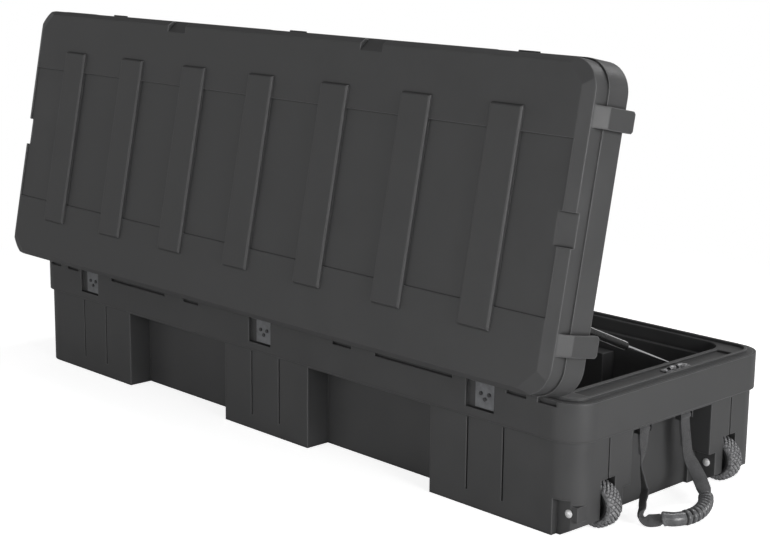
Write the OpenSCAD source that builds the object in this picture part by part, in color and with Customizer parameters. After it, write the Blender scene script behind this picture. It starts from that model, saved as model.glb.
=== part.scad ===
// Rolling expedition box: a long double-wall plastic trunk with a ribbed lid on three hinges,
// two gas struts, three front latches, two wheels at the right end and a strap handle at each end.
// X runs along the box with the wheels at +X, Y runs from the hinges to the latches, Z is up.
// The origin is on the floor under the middle of the tub. The lid is drawn open, as in use.

/* [Overall] */
// Length over the rim band
box_length = 1520; // [1440:10:1700]
// Depth from the hinge side to the latch side, over the rim band
box_depth = 528; // [510:2:600]
// Height of the tub from the floor to the parting plane
tub_height = 224; // [216:1:260]
// Height of the lid from the parting plane to its flat top
lid_height = 86; // [80:1:110]
// Radius of the upright corners
corner_radius = 52; // [44:1:60]
// Thickness of each moulded skin
skin = 5; // [4:0.5:6]
// Free space between the outer and the inner skin where they pass closest
skin_gap = 2; // [1:0.5:4]
// How far the lid stands open at rest, from closed
lid_open = 79; // [60:1:88]

/* [Tub outside] */
// Height of the proud band round the top of the tub
band_height = 64; // [56:1:68]
// How far that band stands out from the wall
band_step = 7; // [5:0.5:9]
// Length of the middle foot, between the two recesses of a long wall
mid_foot_length = 242; // [200:2:280]
// Length of each recess in a long wall
recess_length = 316; // [280:2:330]
// How deep those recesses go in
recess_depth = 51; // [40:1:55]
// Height of the recesses and upright grooves above the floor
recess_top = 155; // [140:1:158]
// Width of the upright strap grooves
groove_width = 4; // [3:0.5:5]
// Depth of the upright strap grooves
groove_depth = 4; // [2:0.5:4.5]
// Height at which the grooves of the long walls begin
groove_bottom = 28; // [20:1:60]
// Width of the handle recess in each end
handle_recess_width = 222; // [200:2:240]
// How deep the handle recess goes in
handle_recess_depth = 51; // [46:1:56]
// How far the lower edge of the wheel end is cut back, for tilting
toe_length = 35; // [20:1:36]
// How high that cut reaches on the end wall
toe_height = 20; // [12:1:24]

// Depth of the slots in the back edge of the rim
rim_slot_depth = 6; // [3:0.5:8]
// Height of those slots
rim_slot_height = 8; // [6:1:14]

/* [Tub inside] */
// Height of the inner floor above the ground
floor_top = 20; // [14:1:30]
// Thickness of the long walls at the rim
rim_width = 28; // [28:0.5:34]
// Extra thickness of the long walls below the inner shelf
shelf_width = 10; // [4:1:14]
// Depth of the inner shelf below the parting plane
shelf_drop = 24; // [18:1:30]
// Thickness of the flange that joins the two skins
flange_thick = 8; // [7:0.5:10]
// Radius of the inner corners
cavity_radius = 40; // [30:1:46]

/* [Rim seal] */
// Distance from the outer face to the sealing ridge
ridge_inset = 16; // [16:0.5:17]
// Width of the sealing ridge
ridge_width = 5; // [4:0.5:6]
// Height of the sealing ridge
ridge_height = 5; // [4:0.5:5.5]
// Height of the rubber gasket's section
gasket_height = 4.7; // [4:0.1:6]
// Free width beside the ridge in the gasket's channel
channel_play = 2.5; // [2:0.1:2.5]
// Gap between the ridge and the gasket with the lid down
seal_gap = 0.3; // [0.2:0.1:0.6]

/* [Lid] */
// Height of the lid's rim band
lid_band_height = 48; // [44:1:52]
// How far that band stands out from the lid's upper wall
lid_band_step = 3; // [2:0.5:4]
// Height of the sloped edge round the top
slope_height = 10; // [8:0.5:12]
// Width of the sloped edge at the ends
end_slope = 20; // [14:1:26]
// Width of the sloped edge at the front and back
side_slope = 9; // [7:0.5:14]
// How far each corner of the flat top is cut across
corner_cut = 33; // [24:1:45]
// Number of raised bars across the lid
bar_count = 7; // [5:2:7]
// Distance between neighbouring bars
bar_pitch = 199; // [190:1:205]
// Width of each bar
bar_width = 68; // [50:1:90]
// Length of each bar
bar_length = 355; // [320:5:400]
// Height of the bars above the lid's top
bar_height = 6; // [4:0.5:8]
// Width of the sloped edge of each bar
bar_slope = 2.5; // [1:0.5:4]
// Depth of the sunk field between the bars
field_depth = 2; // [1:0.25:3]
// Width of that field across the lid
field_width = 276; // [240:2:300]
// Distance from the lid's middle to each strap notch of the front edge
notch_spacing = 273; // [230:1:290]
// Width of each strap notch
notch_width = 54; // [40:1:64]
// How much further in the notches reach than the sloped edge
notch_reach = 13; // [8:1:18]
// Distance from the middle of the box to each ear of the lid's ends
ear_spacing = 175; // [165:1:185]
// Width of each ear
ear_width = 35; // [25:1:45]
// How far the ears stand out from the end
ear_proud = 9; // [6:0.5:12]
// How far the ears reach down past the parting plane
ear_drop = 14; // [8:1:30]
// How much the corners of an ear's tip are cut off
ear_round = 4; // [2:0.5:8]
// Height of the lid's inner space above the parting plane
pan_height = 56; // [48:1:62]
// Thickness of the lid's inner flange, which holds the gasket
lid_flange_thick = 15; // [14:0.5:18]

/* [Hinges] */
// Distance of each outer hinge and latch from the end of the box
hinge_inset = 197; // [180:1:230]
// Width of the pocket round each hinge and latch
pocket_width = 80; // [78:1:96]
// Height of the lower edge of each hinge pocket below the parting plane
pocket_drop = 49; // [48:1:54]
// Distance of the hinge axis behind the box's back face
axis_out = 4; // [3:0.5:5]
// Height of the hinge axis above the parting plane
axis_up = 6; // [4:0.5:8]
// Width of a hinge leaf
leaf_width = 43; // [38:1:50]
// Thickness of a hinge leaf
leaf_thick = 3; // [2:0.25:3.5]
// Height of the flat part of the lid's hinge leaf
leaf_height = 34; // [30:1:36]
// Height of the flat part of the tub's hinge leaf
tub_leaf_height = 44; // [38:1:46]
// Free space in the hinge pocket on the wheel side of the leaf
leaf_room = 2; // [1:0.5:6]
// Radius of the hinge knuckle
knuckle_radius = 6; // [5:0.25:7]
// Length of the lid's knuckle in the middle of each hinge
knuckle_length = 15; // [10:1:20]
// Radius of the hinge pin
pin_radius = 2.5; // [2:0.25:3]
// Gap between the knuckles along the pin
knuckle_gap = 0.3; // [0.2:0.1:0.6]
// Radial play of a pin in a turning bore
running_play = 0.05; // [0.02:0.01:0.09]

/* [Latches] */
// Height of the latch pivot below the parting plane
latch_drop = 28; // [26:1:32]
// Width of the lever
lever_width = 62; // [50:1:64]
// Reach of the lever from its pivot
lever_reach = 58; // [54:1:66]
// Thickness of the lever
lever_thick = 6; // [4:0.5:7]
// Distance from the pivot to the middle of the keeper's nose
nose_reach = 43; // [41:0.5:45]
// Height of the keeper's nose
nose_height = 5; // [4:0.5:6]
// Width of the keeper's nose
nose_width = 44; // [30:1:46]
// Free height above and below the nose in the lever's window
window_play = 1.5; // [1:0.25:2]
// Radius of the latch pin
latch_pin_radius = 3; // [2.5:0.25:3.5]

/* [Gas struts] */
// Distance of the lid pivot in front of the hinge axis
strut_lid_reach = 133; // [120:1:145]
// Height of the lid pivot above the hinge axis, with the lid down
strut_lid_rise = 22; // [14:1:28]
// Distance of the tub pivot behind the inner front wall
strut_front_inset = 72; // [52:1:90]
// Depth of the tub pivot below the parting plane
strut_tub_drop = 37; // [36:1:60]
// Distance of the strut from the inner end wall
strut_inset = 18; // [13:0.5:20]
// Radius of the strut's cylinder
strut_radius = 7.5; // [6:0.5:8]
// Length of the cylinder from its pivot to its open end
strut_length = 250; // [240:1:260]
// Radius of the strut's rod
rod_radius = 3; // [2.5:0.25:4]
// Radius of the studs that carry the struts
stud_radius = 4; // [3:0.25:4.5]
// Gap at the tub stud, where the closed loop is open
stud_gap = 0.4; // [0.3:0.1:1]

/* [Wheels] */
// Outer radius of the tyre
wheel_radius = 40; // [36:0.5:42]
// Height of the wheel's lowest point above the floor
wheel_lift = 0.3; // [0.2:0.1:2]
// Width of the tyre
tyre_width = 30; // [24:0.5:32]
// Thickness of the tyre's tread
tyre_thick = 13; // [9:0.5:15]
// Distance of the axle from the end of the tub
axle_inset = 25; // [22:0.5:28]
// Distance from the middle of the box to the middle of each wheel
wheel_spacing = 170; // [166:1:174]
// Width of the wheel well
well_width = 38; // [37:0.5:42]
// Free space round the wheel in its well
well_play = 6; // [5:0.5:7]
// Radius of the axle bolt
axle_radius = 4; // [3:0.25:5]
// Radius of the bolt's round head
bolt_head_radius = 7; // [6:0.25:8]
// Depth of the pocket round the bolt's head in the back wall
bolt_pocket_depth = 12; // [8:0.5:14]
// Depth of the front nut's seat behind the front wall
nut_inset = 42; // [36:1:48]
// Room for the front nut in its slot under the tub, along the bolt
nut_room = 20; // [16:1:24]
// Depth of the pocket round the bolt in the handle recess
inner_pocket_depth = 19; // [14:0.5:22]
// Height of the bolt pockets
bolt_pocket_top = 62; // [58:1:70]
// Distance of the bolt pockets' inner edge from the end wall
bolt_pocket_length = 43; // [40:1:48]
// Number of tread blocks round the tyre
tread_blocks = 20; // [12:1:24]

/* [Strap handles] */
// Distance from the middle of the handle to each strap anchor
anchor_spacing = 57; // [50:1:65]
// Distance of the handle's middle behind the middle of the box
handle_shift = 5; // [0:1:12]
// Distance of the anchor bar inside the end wall
anchor_inset = 15; // [13:0.5:20]
// Depth of the anchor bar below the recess's ceiling
anchor_drop = 11; // [10:0.5:14]
// Radius of the anchor bar
anchor_radius = 3; // [2.5:0.25:3.5]
// Width of the webbing
strap_width = 25; // [20:1:26]
// Thickness of the webbing
strap_thick = 2.6; // [2:0.1:3]
// Radius of the rubber grip over its ribs
grip_radius = 12; // [11.5:0.1:13.8]
// Radius of the grip's smooth sleeve
sleeve_radius = 9.8; // [9.2:0.1:12]
// Depth of the grooves between the grip's ribs
grip_rib = 1.75; // [1:0.25:2]

/* [Small fittings] */
// Radius of the small screws' shanks
screw_radius = 2; // [1.5:0.25:2.25]
// Radius of the small screws' heads
screw_head_radius = 3.4; // [3:0.2:3.6]
// Free radius round a screw in its hole
screw_play = 0.1; // [0.05:0.05:0.3]
// Distance of the drain from the middle of the box
drain_y = 170; // [150:1:180]
// Inner radius of the drain tube
drain_radius = 9; // [6:0.5:10]
// Thickness of the drain tube's wall
drain_wall = 3; // [2:0.5:4]
// Radius of the drain plug's knob
drain_knob_radius = 16; // [14:0.5:20]
// Length of the opener plate along the end rim
opener_length = 68; // [50:1:80]
// Distance of the opener plate in front of the box's middle
opener_y = 52; // [10:1:80]

/* [Hidden] */
far = 2000;
cut = 1;
half_length = box_length / 2;
half_depth = box_depth / 2;
wall_x = half_length - band_step;
wall_y = half_depth - band_step;
wall_radius = corner_radius - band_step;
band_bottom = tub_height - band_height;
recess_x = mid_foot_length / 2;
recess_y = wall_y - recess_depth;
hinge_pitch = half_length - hinge_inset;
hinge_places = [-hinge_pitch, 0, hinge_pitch];

rim_slot_places = [[195, 245], [305, 492], [612, 655], [678, 717]];
handle_recess_x = wall_x - handle_recess_depth;
handle_recess_y = handle_recess_width / 2;
skins = 2 * skin + skin_gap;
cavity_x = handle_recess_x - skins;
cavity_y = half_depth - rim_width - shelf_width;
upper_y = half_depth - rim_width;
shelf_top = tub_height - shelf_drop;

lid_top = tub_height + lid_height;
lid_band_top = tub_height + lid_band_height;
upper_x = half_length - lid_band_step;
upper_wall_y = half_depth - lid_band_step;
slope_bottom = lid_top - slope_height;
face_x = upper_x - end_slope;
face_y = upper_wall_y - side_slope;
lid_corner_radius = corner_radius - lid_band_step;
corner_face = (face_x + face_y - corner_cut) / sqrt(2);
corner_wide = (upper_x + upper_wall_y - 2 * lid_corner_radius) / sqrt(2) + lid_corner_radius + 2;
bar_top = lid_top + bar_height;
channel_inset = ridge_inset - channel_play;
channel_width = ridge_width + 2 * channel_play;
gasket_bottom = tub_height + ridge_height + seal_gap;
gasket_top = gasket_bottom + gasket_height;
pan_top = tub_height + pan_height;

axis_y = -(half_depth + axis_out);
axis_z = tub_height + axis_up;
pocket_y = half_depth - band_step;
leaf_y = pocket_y + leaf_thick;
hinge_pocket_bottom = tub_height - pocket_drop;
tub_leaf_bottom = tub_height - tub_leaf_height - 2;
lid_pocket_top = lid_band_top + 4;
screw_length = leaf_thick + skin + 2;
screw_head_height = 1.8;

latch_z = tub_height - latch_drop;
nose_z = latch_z + nose_reach;
latch_plate = 2.5;
keeper_thick = 2.5;
latch_barrel = half_depth - pocket_y - 1;
latch_head_height = 1.2;

strut_x = cavity_x - strut_inset;
stud_plate = 3;
stud_plate_half = 11;
stud_plate_wide = min(stud_plate_half, strut_front_inset - cavity_radius - 0.3);
eye_half = 4;
eye_radius = 9;
neck_radius = rod_radius + 0.4;
strut_lid_y = axis_y + strut_lid_reach;
strut_lid_z = axis_z + strut_lid_rise;
strut_tub_y = cavity_y - strut_front_inset;
strut_tub_z = tub_height - strut_tub_drop;
strut_top_y = axis_y + strut_lid_reach * cos(lid_open) - strut_lid_rise * sin(lid_open);
strut_top_z = axis_z + strut_lid_reach * sin(lid_open) + strut_lid_rise * cos(lid_open);
strut_run = strut_tub_y - strut_top_y;
strut_fall = strut_top_z - strut_tub_z;
strut_span = sqrt(strut_run * strut_run + strut_fall * strut_fall);
strut_tilt = atan2(-strut_fall, strut_run);

axle_x = half_length - axle_inset;
axle_z = wheel_radius + wheel_lift;
well_x = axle_x - wheel_radius - well_play;
well_top = axle_z + wheel_radius + well_play;
well_in = wheel_spacing - well_width / 2;
well_out = wheel_spacing + well_width / 2;
bolt_face_out = wall_y - bolt_pocket_depth;
bolt_face_in = handle_recess_y + inner_pocket_depth;
bolt_pocket_x = wall_x - bolt_pocket_length;
nut_seat = wall_y - nut_inset;
nut_half = axle_radius + 7;
axle_spans = [[-bolt_face_out, -well_out], [-well_in, -bolt_face_in], [bolt_face_in, well_in],
              [well_out, nut_seat]];
boss_half = axle_radius + 9;
washer_thick = 1.6;
washer_radius = 9;
hub_gap = 0.4;
hub_width = well_width - 2 * washer_thick - 2 * hub_gap;
bush_radius = axle_radius + 3;
bolt_head_height = 4.4;
nut_thick = 6.5;
bolt_tail = 10;
tread_depth = 3;

handle_top = recess_top - cut;
anchor_x = wall_x - anchor_inset;
anchor_z = handle_top - anchor_drop;
anchor_width = 34;
anchor_plate = 3;
anchor_ear = 3;
anchor_ring_radius = anchor_radius + strap_thick + running_play;

ledge_outer = 27;
ledge_inner = 62;
ledge_depth = 4;
ledge_half = 200;
opener_x = half_length - (ledge_outer + ledge_inner) / 2;
opener_width = 20;
opener_thick = 2;
opener_horn = 6;
opener_room = 9;

drain_z = floor_top + drain_radius + drain_wall + 3;

// Route of the right handle's webbing from its back anchor to its front anchor, measured from the
// middle of the anchor line, and the way its width points at each of those points
strap_route = [
    [0, -57, -6], [3, -61, -30], [8, -70, -55], [14, -71, -77], [18, -70, -98], [29, -89, -116],
    [41, -106, -128], [51, -105, -133], [62, -96, -132.5], [74, -88, -128.5], [85, -79, -128.5],
    [93, -61, -128.5], [95, -37, -128.5], [90, -11, -128.5], [78, 18, -128.5], [63, 41, -126.5],
    [48, 55, -118], [34, 62, -105], [20, 65, -90], [8, 61, -67], [3, 59, -35], [0, 57, -6]
];
strap_across = [
    [0, 1, 0], [-0.2, 0.98, 0], [-0.6, 0.8, 0], [-0.8, 0.6, 0], [-0.85, 0.5, 0], [-0.75, 0.65, 0],
    [-0.7, 0.65, 0.2], [-0.62, 0.57, 0.5], [-0.62, 0.57, 0.5], [-0.65, 0.6, 0.3], [-0.8, 0.5, 0],
    [-1, 0.2, 0], [-1, 0, 0], [-1, -0.2, 0], [-0.9, -0.4, 0], [-0.8, -0.6, 0],
    [-0.7, -0.7, 0], [-0.7, -0.7, 0], [-0.5, -0.85, 0], [-0.1, -1, 0], [0, -1, 0], [0, -1, 0]
];
strap_steps = 3;
grip_start = 8.9;
grip_end = 15.2;
grip_steps = 44;
fold_width = 14;

// Box between two corners, each side given as [low, high]
module block(x, y, z) {
    translate([x[0], y[0], z[0]]) cube([x[1] - x[0], y[1] - y[0], z[1] - z[0]]);
}

// Round bar along X
module bar_x(radius, x, y, z) {
    translate([x[0], y, z]) rotate([0, 90, 0]) cylinder(r = radius, h = x[1] - x[0], $fn = 48);
}

// Round bar along Y
module bar_y(radius, x, y, z) {
    translate([x, y[0], z]) rotate([-90, 0, 0]) cylinder(r = radius, h = y[1] - y[0], $fn = 48);
}

// Round bar along Z
module bar_z(radius, x, y, z) {
    translate([x, y, z[0]]) cylinder(r = radius, h = z[1] - z[0], $fn = 48);
}

// The same shape on both sides of the box's middle, left and right
module both_x() {
    children();
    mirror([1, 0, 0]) children();
}

// The same shape on both sides of the box's middle, back and front
module both_y() {
    children();
    mirror([0, 1, 0]) children();
}

// Outline drawn in X and Z, and drawn out along Y
module along_y(y) {
    translate([0, y[1], 0]) rotate([90, 0, 0]) linear_extrude(y[1] - y[0]) children();
}

// Outline drawn in Y and Z, and drawn out along X
module along_x(x) {
    translate([x[0], 0, 0]) rotate([90, 0, 90]) linear_extrude(x[1] - x[0]) children();
}

// Upright slab with round corners, given by its half sizes
module slab(x, y, radius, z) {
    translate([0, 0, z[0]]) linear_extrude(z[1] - z[0]) {
        square([2 * (x - radius), 2 * y], center = true);
        square([2 * x, 2 * (y - radius)], center = true);
        for (sx = [-1, 1], sy = [-1, 1])
            translate([sx * (x - radius), sy * (y - radius)]) circle(radius, $fn = 64);
    }
}

// Ring that follows the outside of the box, a given inset in from its face
module rim_ring(inset, width, z) {
    difference() {
        slab(half_length - inset, half_depth - inset, corner_radius - inset, z);
        slab(half_length - inset - width, half_depth - inset - width,
             corner_radius - inset - width, [z[0] - cut, z[1] + cut]);
    }
}

// Swings what is drawn on the closed lid to the open place
module open_lid() {
    translate([0, axis_y, axis_z]) rotate([lid_open, 0, 0]) translate([0, -axis_y, -axis_z]) children();
}

// Pockets for the hinges at the back of the tub and lid, grown by g
module hinge_pockets(z, g) {
    for (x = hinge_places)
        block([x - pocket_width / 2 - g, x + leaf_width / 2 + leaf_room + g], [-far, -pocket_y + g],
              [z[0] - g, z[1] + g]);
}

// Pockets for the latches at the front of the tub and lid, grown by g
module latch_pockets(z, g) {
    for (x = hinge_places)
        block([x - pocket_width / 2 - g, x + pocket_width / 2 + g], [pocket_y - g, far],
              [z[0] - g, z[1] + g]);
}

// Recesses under the long walls and wheel wells in the right end, grown by g
module deep_recesses(g) {
    both_x() both_y()
        block([recess_x - g, recess_x + recess_length + g], [recess_y - g, far], [-far, recess_top + g]);
    both_y()
        block([well_x - g, far], [well_in - g, well_out + g], [-far, well_top + g]);
}

// Shallow slots in the back edge of the rim, grown by g
module rim_slots(g) {
    both_x() for (x = rim_slot_places)
        block([x[0] - g, x[1] + g], [-far, -half_depth + rim_slot_depth + g],
              [tub_height - rim_slot_height - g, far]);
}

// All that is cut into the outside of the tub, grown by g for the inner face of the skin
module tub_cuts(g) {
    deep_recesses(g);
    both_x() block([handle_recess_x - g, far], [-handle_recess_y - g, handle_recess_y + g],
                   [-far, handle_top + g]);
    block([bolt_pocket_x - g, far], [-far, g - bolt_face_out], [-far, bolt_pocket_top + g]);
    block([axle_x - nut_half - g, axle_x + nut_half + g], [nut_seat - g, nut_seat + nut_room + g],
          [-far, axle_z + nut_half + g]);
    both_y() {
        block([bolt_pocket_x - g, far], [0, bolt_face_in + g], [-far, bolt_pocket_top + g]);
        block([wall_x - groove_depth - g, far],
              [wheel_spacing - groove_width / 2 - g, wheel_spacing + groove_width / 2 + g],
              [well_top - cut, recess_top + g]);
        for (x = hinge_places, edge = [-1, 1])
            block([x + edge * pocket_width / 2 - groove_width / 2 - g,
                   x + edge * pocket_width / 2 + groove_width / 2 + g],
                  [wall_y - groove_depth - g, far], [groove_bottom - g, recess_top + g]);
    }
    along_y([-far, far])
        polygon([[wall_x - toe_length - g, -far], [wall_x - toe_length - g, g],
                 [wall_x - g, toe_height + g], [far, toe_height + g], [far, -far]]);
    hinge_pockets([hinge_pocket_bottom, far], g);
    latch_pockets([band_bottom, far], g);
    rim_slots(g);
}

// Outer form of the tub, shrunk by g
module tub_form(g, top) {
    difference() {
        union() {
            slab(wall_x - g, wall_y - g, wall_radius - g, [g, top]);
            slab(half_length - g, half_depth - g, corner_radius - g, [band_bottom + g, top]);
        }
        tub_cuts(g);
    }
}

// Space inside the tub, grown by g
module cavity(g, top) {
    difference() {
        union() {
            slab(cavity_x + g, cavity_y + g, cavity_radius + g, [floor_top - g, top]);
            slab(cavity_x + g, upper_y + g, cavity_radius + g, [shelf_top - g, top]);
        }
        deep_recesses(skins - g);
    }
}

// Places of the three screws of a hinge leaf, from the leaf's middle and its plain edge
module leaf_screws(edge, up) {
    for (p = [[-9, 25], [9, 25], [0, 16]])
        translate([p[0], 0, edge + up * p[1]]) children();
}

// One screw pointing in at the back of the box, head outside at depth y
module back_screw(y, radius, head) {
    translate([0, y, 0]) rotate([-90, 0, 0]) cylinder(r = radius, h = screw_length, $fn = 32);
    if (head)
        translate([0, y - screw_head_height, 0]) rotate([-90, 0, 0])
            cylinder(r = screw_head_radius, h = screw_head_height, $fn = 32);
}

module hinge_tub_screw_set(radius, head) {
    for (x = hinge_places)
        translate([x, 0, 0]) leaf_screws(tub_leaf_bottom, 1) back_screw(-leaf_y, radius, head);
}

module hinge_lid_screw_set(radius, head) {
    for (x = hinge_places)
        translate([x, 0, 0]) leaf_screws(axis_z + leaf_height + 6, -1) back_screw(-leaf_y, radius, head);
}

// Screws that hold the latch brackets or keepers, in from the front
module front_screw_set(z, radius, head, plate) {
    for (x = hinge_places, side = [-1, 1])
        translate([x + side * 24, pocket_y + plate, z]) rotate([90, 0, 0]) {
            cylinder(r = radius, h = plate + skin + 2, $fn = 32);
            if (head) cylinder(r = screw_head_radius, h = latch_head_height, $fn = 32);
        }
}

module axle_holes(radius) {
    for (y = axle_spans) bar_y(radius, axle_x, [y[0] - cut, y[1] + cut], axle_z);
}

module anchor_screw_set(radius, head) {
    both_x() translate([0, -handle_shift, 0]) both_y() for (side = [-1, 1])
        translate([anchor_x - 5 + side * 8, anchor_spacing, 0]) {
            bar_z(radius, 0, 0, [handle_top - anchor_plate, handle_top + skin + 2]);
            if (head)
                bar_z(screw_head_radius, 0, 0,
                      [handle_top - anchor_plate - screw_head_height, handle_top - anchor_plate]);
        }
}

module opener_screw_set(radius, head) {
    for (side = [-1, 1])
        translate([opener_x, opener_y + side * (opener_length / 2 - 6), 0]) {
            bar_z(radius, 0, 0, [tub_height - flange_thick, tub_height - ledge_depth + opener_thick]);
            if (head)
                bar_z(screw_head_radius, 0, 0,
                      [tub_height - ledge_depth + opener_thick,
                       tub_height - ledge_depth + opener_thick + 1.4]);
        }
}

module tub_shell() {
    color("#404143") difference() {
        union() {
            difference() {
                tub_form(0, tub_height);
                tub_form(skin, tub_height + cut);
            }
            for (y = axle_spans)
                block([axle_x - boss_half, wall_x - cut], [y[0] + cut, y[1] - cut],
                      [axle_z - boss_half, axle_z + boss_half]);
        }
        axle_holes(axle_radius + running_play);
        hinge_tub_screw_set(screw_radius + screw_play, false);
        front_screw_set(latch_z - 16, screw_radius + screw_play, false, latch_plate);
        anchor_screw_set(screw_radius + screw_play, false);
        bar_x(drain_radius + drain_wall, [-half_length, -cavity_x - skin], drain_y, drain_z);
    }
}

module tub_liner() {
    color("#1c1c1d") difference() {
        union() {
            cavity(skin, tub_height);
            difference() {
                slab(half_length - skin, half_depth - skin, corner_radius - skin,
                     [tub_height - flange_thick, tub_height]);
                hinge_pockets([0, far], skin);
                latch_pockets([0, far], skin);
                rim_slots(skin);
            }
            rim_ring(ridge_inset, ridge_width, [tub_height - cut, tub_height + ridge_height]);
        }
        cavity(0, tub_height + ridge_height + cut);
        both_x() block([half_length - ledge_inner, half_length - ledge_outer], [-ledge_half, ledge_half],
                       [tub_height - ledge_depth, far]);
        opener_screw_set(screw_radius + screw_play, false);
        bar_x(drain_radius + drain_wall, [-cavity_x - skin - cut, -cavity_x + cut], drain_y, drain_z);
    }
}

// Outer form of the lid in its closed place, shrunk by g and without bars
module lid_form(g, low) {
    slope_shift = g / 2;
    difference() {
        union() {
            slab(half_length - g, half_depth - g, corner_radius - g, [low, lid_band_top - g]);
            intersection() {
                slab(upper_x - g, upper_wall_y - g, lid_corner_radius - g, [low, lid_top - g]);
                along_y([-far, far]) slope_outline(upper_x - g, face_x - slope_shift, g, low);
                along_x([-far, far]) slope_outline(upper_wall_y - g, face_y - slope_shift, g, low);
                rotate([0, 0, 45]) along_x([-far, far])
                    slope_outline(corner_wide - g, corner_face - slope_shift, g, low);
                rotate([0, 0, -45]) along_x([-far, far])
                    slope_outline(corner_wide - g, corner_face - slope_shift, g, low);
            }
        }
        block([-face_x - g, face_x + g], [-field_width / 2 - g, field_width / 2 + g],
              [lid_top - field_depth - g, far]);
        both_x() along_y([-notch_width / 2 - g, notch_width / 2 + g]) notch_outline(upper_x, face_x, g);
        for (side = [-1, 1])
            translate([side * notch_spacing, 0, 0]) along_x([-notch_width / 2 - g, notch_width / 2 + g])
                notch_outline(upper_wall_y, face_y, g);
        hinge_pockets([low - cut, lid_pocket_top], g);
        latch_pockets([low - cut, lid_band_top], g);
    }
}

// Cross outline of the lid with its sloped upper edges
module slope_outline(wide, narrow, g, low) {
    shift = g / 2;
    polygon([[-wide, low - cut], [wide, low - cut], [wide, slope_bottom - shift], [narrow, lid_top - g],
             [-narrow, lid_top - g], [-wide, slope_bottom - shift]]);
}

// Outline of what a strap notch takes off the sloped edge
module notch_outline(wide, narrow, g) {
    shift = g / 2;
    polygon([[narrow - notch_reach - shift, lid_top - g + 0.01],
             [wide - shift, slope_bottom - 0.6 * notch_reach - shift],
             [far, slope_bottom - 0.6 * notch_reach - shift], [far, far],
             [narrow - notch_reach - shift, far]]);
}

// One raised bar with sloped edges, shrunk by g
module lid_bar(g) {
    low = lid_top - field_depth - skin;
    wide = bar_width / 2 - g;
    long = bar_length / 2 - g;
    high = bar_top - g;
    intersection() {
        along_y([-far, far])
            polygon([[-wide, low], [wide, low], [wide, high - bar_slope], [wide - bar_slope, high],
                     [bar_slope - wide, high], [-wide, high - bar_slope]]);
        along_x([-far, far])
            polygon([[-long, low], [long, low], [long, high - bar_slope], [long - bar_slope, high],
                     [bar_slope - long, high], [-long, high - bar_slope]]);
    }
}

module lid_bars(g) {
    for (i = [0:bar_count - 1])
        translate([(i - (bar_count - 1) / 2) * bar_pitch, 0, 0]) lid_bar(g);
}

// The two ears on each end of the lid, which hook over the tub's band
module lid_ears() {
    tip = tub_height - ear_drop;
    side = [ear_spacing - ear_width / 2, ear_spacing + ear_width / 2];
    both_x() both_y() intersection() {
        along_y(side)
            polygon([[upper_x - cut, slope_bottom], [half_length + ear_proud, lid_band_top],
                     [half_length + ear_proud, tip], [half_length + cut, tip],
                     [half_length + cut, tub_height], [half_length - cut, tub_height]]);
        along_x([0, far])
            polygon([[side[0], far], [side[0], tip + ear_round], [side[0] + ear_round, tip],
                     [side[1] - ear_round, tip], [side[1], tip + ear_round], [side[1], far]]);
    }
}

module lid_shell() {
    color("#434446") open_lid() difference() {
        union() {
            difference() {
                union() {
                    lid_form(0, tub_height);
                    lid_bars(0);
                }
                lid_form(skin, tub_height - cut);
                lid_bars(skin);
            }
            lid_ears();
        }
        hinge_lid_screw_set(screw_radius + screw_play, false);
        front_screw_set(nose_z + 14, screw_radius + screw_play, false, keeper_thick);
    }
}

// Space inside the lid, grown by g
module lid_cavity(g, low) {
    slab(cavity_x + g, upper_y + g, cavity_radius + g, [low, pan_top + g]);
}

module lid_pan() {
    color("#1c1c1d") open_lid() difference() {
        union() {
            lid_cavity(skin, tub_height);
            difference() {
                slab(half_length - skin, half_depth - skin, corner_radius - skin,
                     [tub_height, tub_height + lid_flange_thick]);
                hinge_pockets([0, far], skin);
                latch_pockets([0, far], skin);
            }
        }
        lid_cavity(0, tub_height - cut);
        rim_ring(channel_inset, channel_width, [tub_height - cut, gasket_top]);
        block([half_length - ledge_inner, half_length - ledge_outer],
              [opener_y - opener_length / 2 - 6, opener_y + opener_length / 2 + 6],
              [0, tub_height + opener_room]);
    }
}

module lid_gasket() {
    color("#101010") open_lid() rim_ring(channel_inset, channel_width, [gasket_bottom, gasket_top]);
}

// Knuckle and neck of a hinge leaf: the neck is an outline in Y and Z
module leaf_neck(x, edge) {
    along_x(x)
        polygon([[-pocket_y, edge], [-leaf_y, edge], [axis_y - knuckle_radius * 0.6, axis_z],
                 [axis_y + knuckle_radius * 0.6, axis_z]]);
    bar_x(knuckle_radius, x, axis_y, axis_z);
}

module hinge_tub_leaf(place) {
    low = tub_leaf_bottom;
    top = low + tub_leaf_height;
    inner = knuckle_length / 2 + knuckle_gap;
    color("#6c6d70") translate([place, 0, 0]) difference() {
        union() {
            block([-leaf_width / 2, leaf_width / 2], [-leaf_y, -pocket_y], [low, top]);
            leaf_neck([-leaf_width / 2, -inner], top - cut);
            leaf_neck([inner, leaf_width / 2], top - cut);
        }
        bar_x(pin_radius, [-leaf_width, leaf_width], axis_y, axis_z);
        leaf_screws(low, 1) back_screw(-leaf_y, screw_radius + screw_play, false);
    }
}

module hinge_lid_leaf(place) {
    high = axis_z + leaf_height + 6;
    color("#6c6d70") open_lid() translate([place, 0, 0]) difference() {
        union() {
            block([-leaf_width / 2, leaf_width / 2], [-leaf_y, -pocket_y], [high - leaf_height + cut, high]);
            leaf_neck([-knuckle_length / 2, knuckle_length / 2], high - leaf_height + 2 * cut);
        }
        bar_x(pin_radius + running_play, [-leaf_width, leaf_width], axis_y, axis_z);
        leaf_screws(high, -1) back_screw(-leaf_y, screw_radius + screw_play, false);
    }
}

module hinge_pin(place) {
    color("#9a9b9e") bar_x(pin_radius, [place - leaf_width / 2, place + leaf_width / 2], axis_y, axis_z);
}

module hinge_tub_screws() {
    color("#b9babd") hinge_tub_screw_set(screw_radius, true);
}

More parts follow.
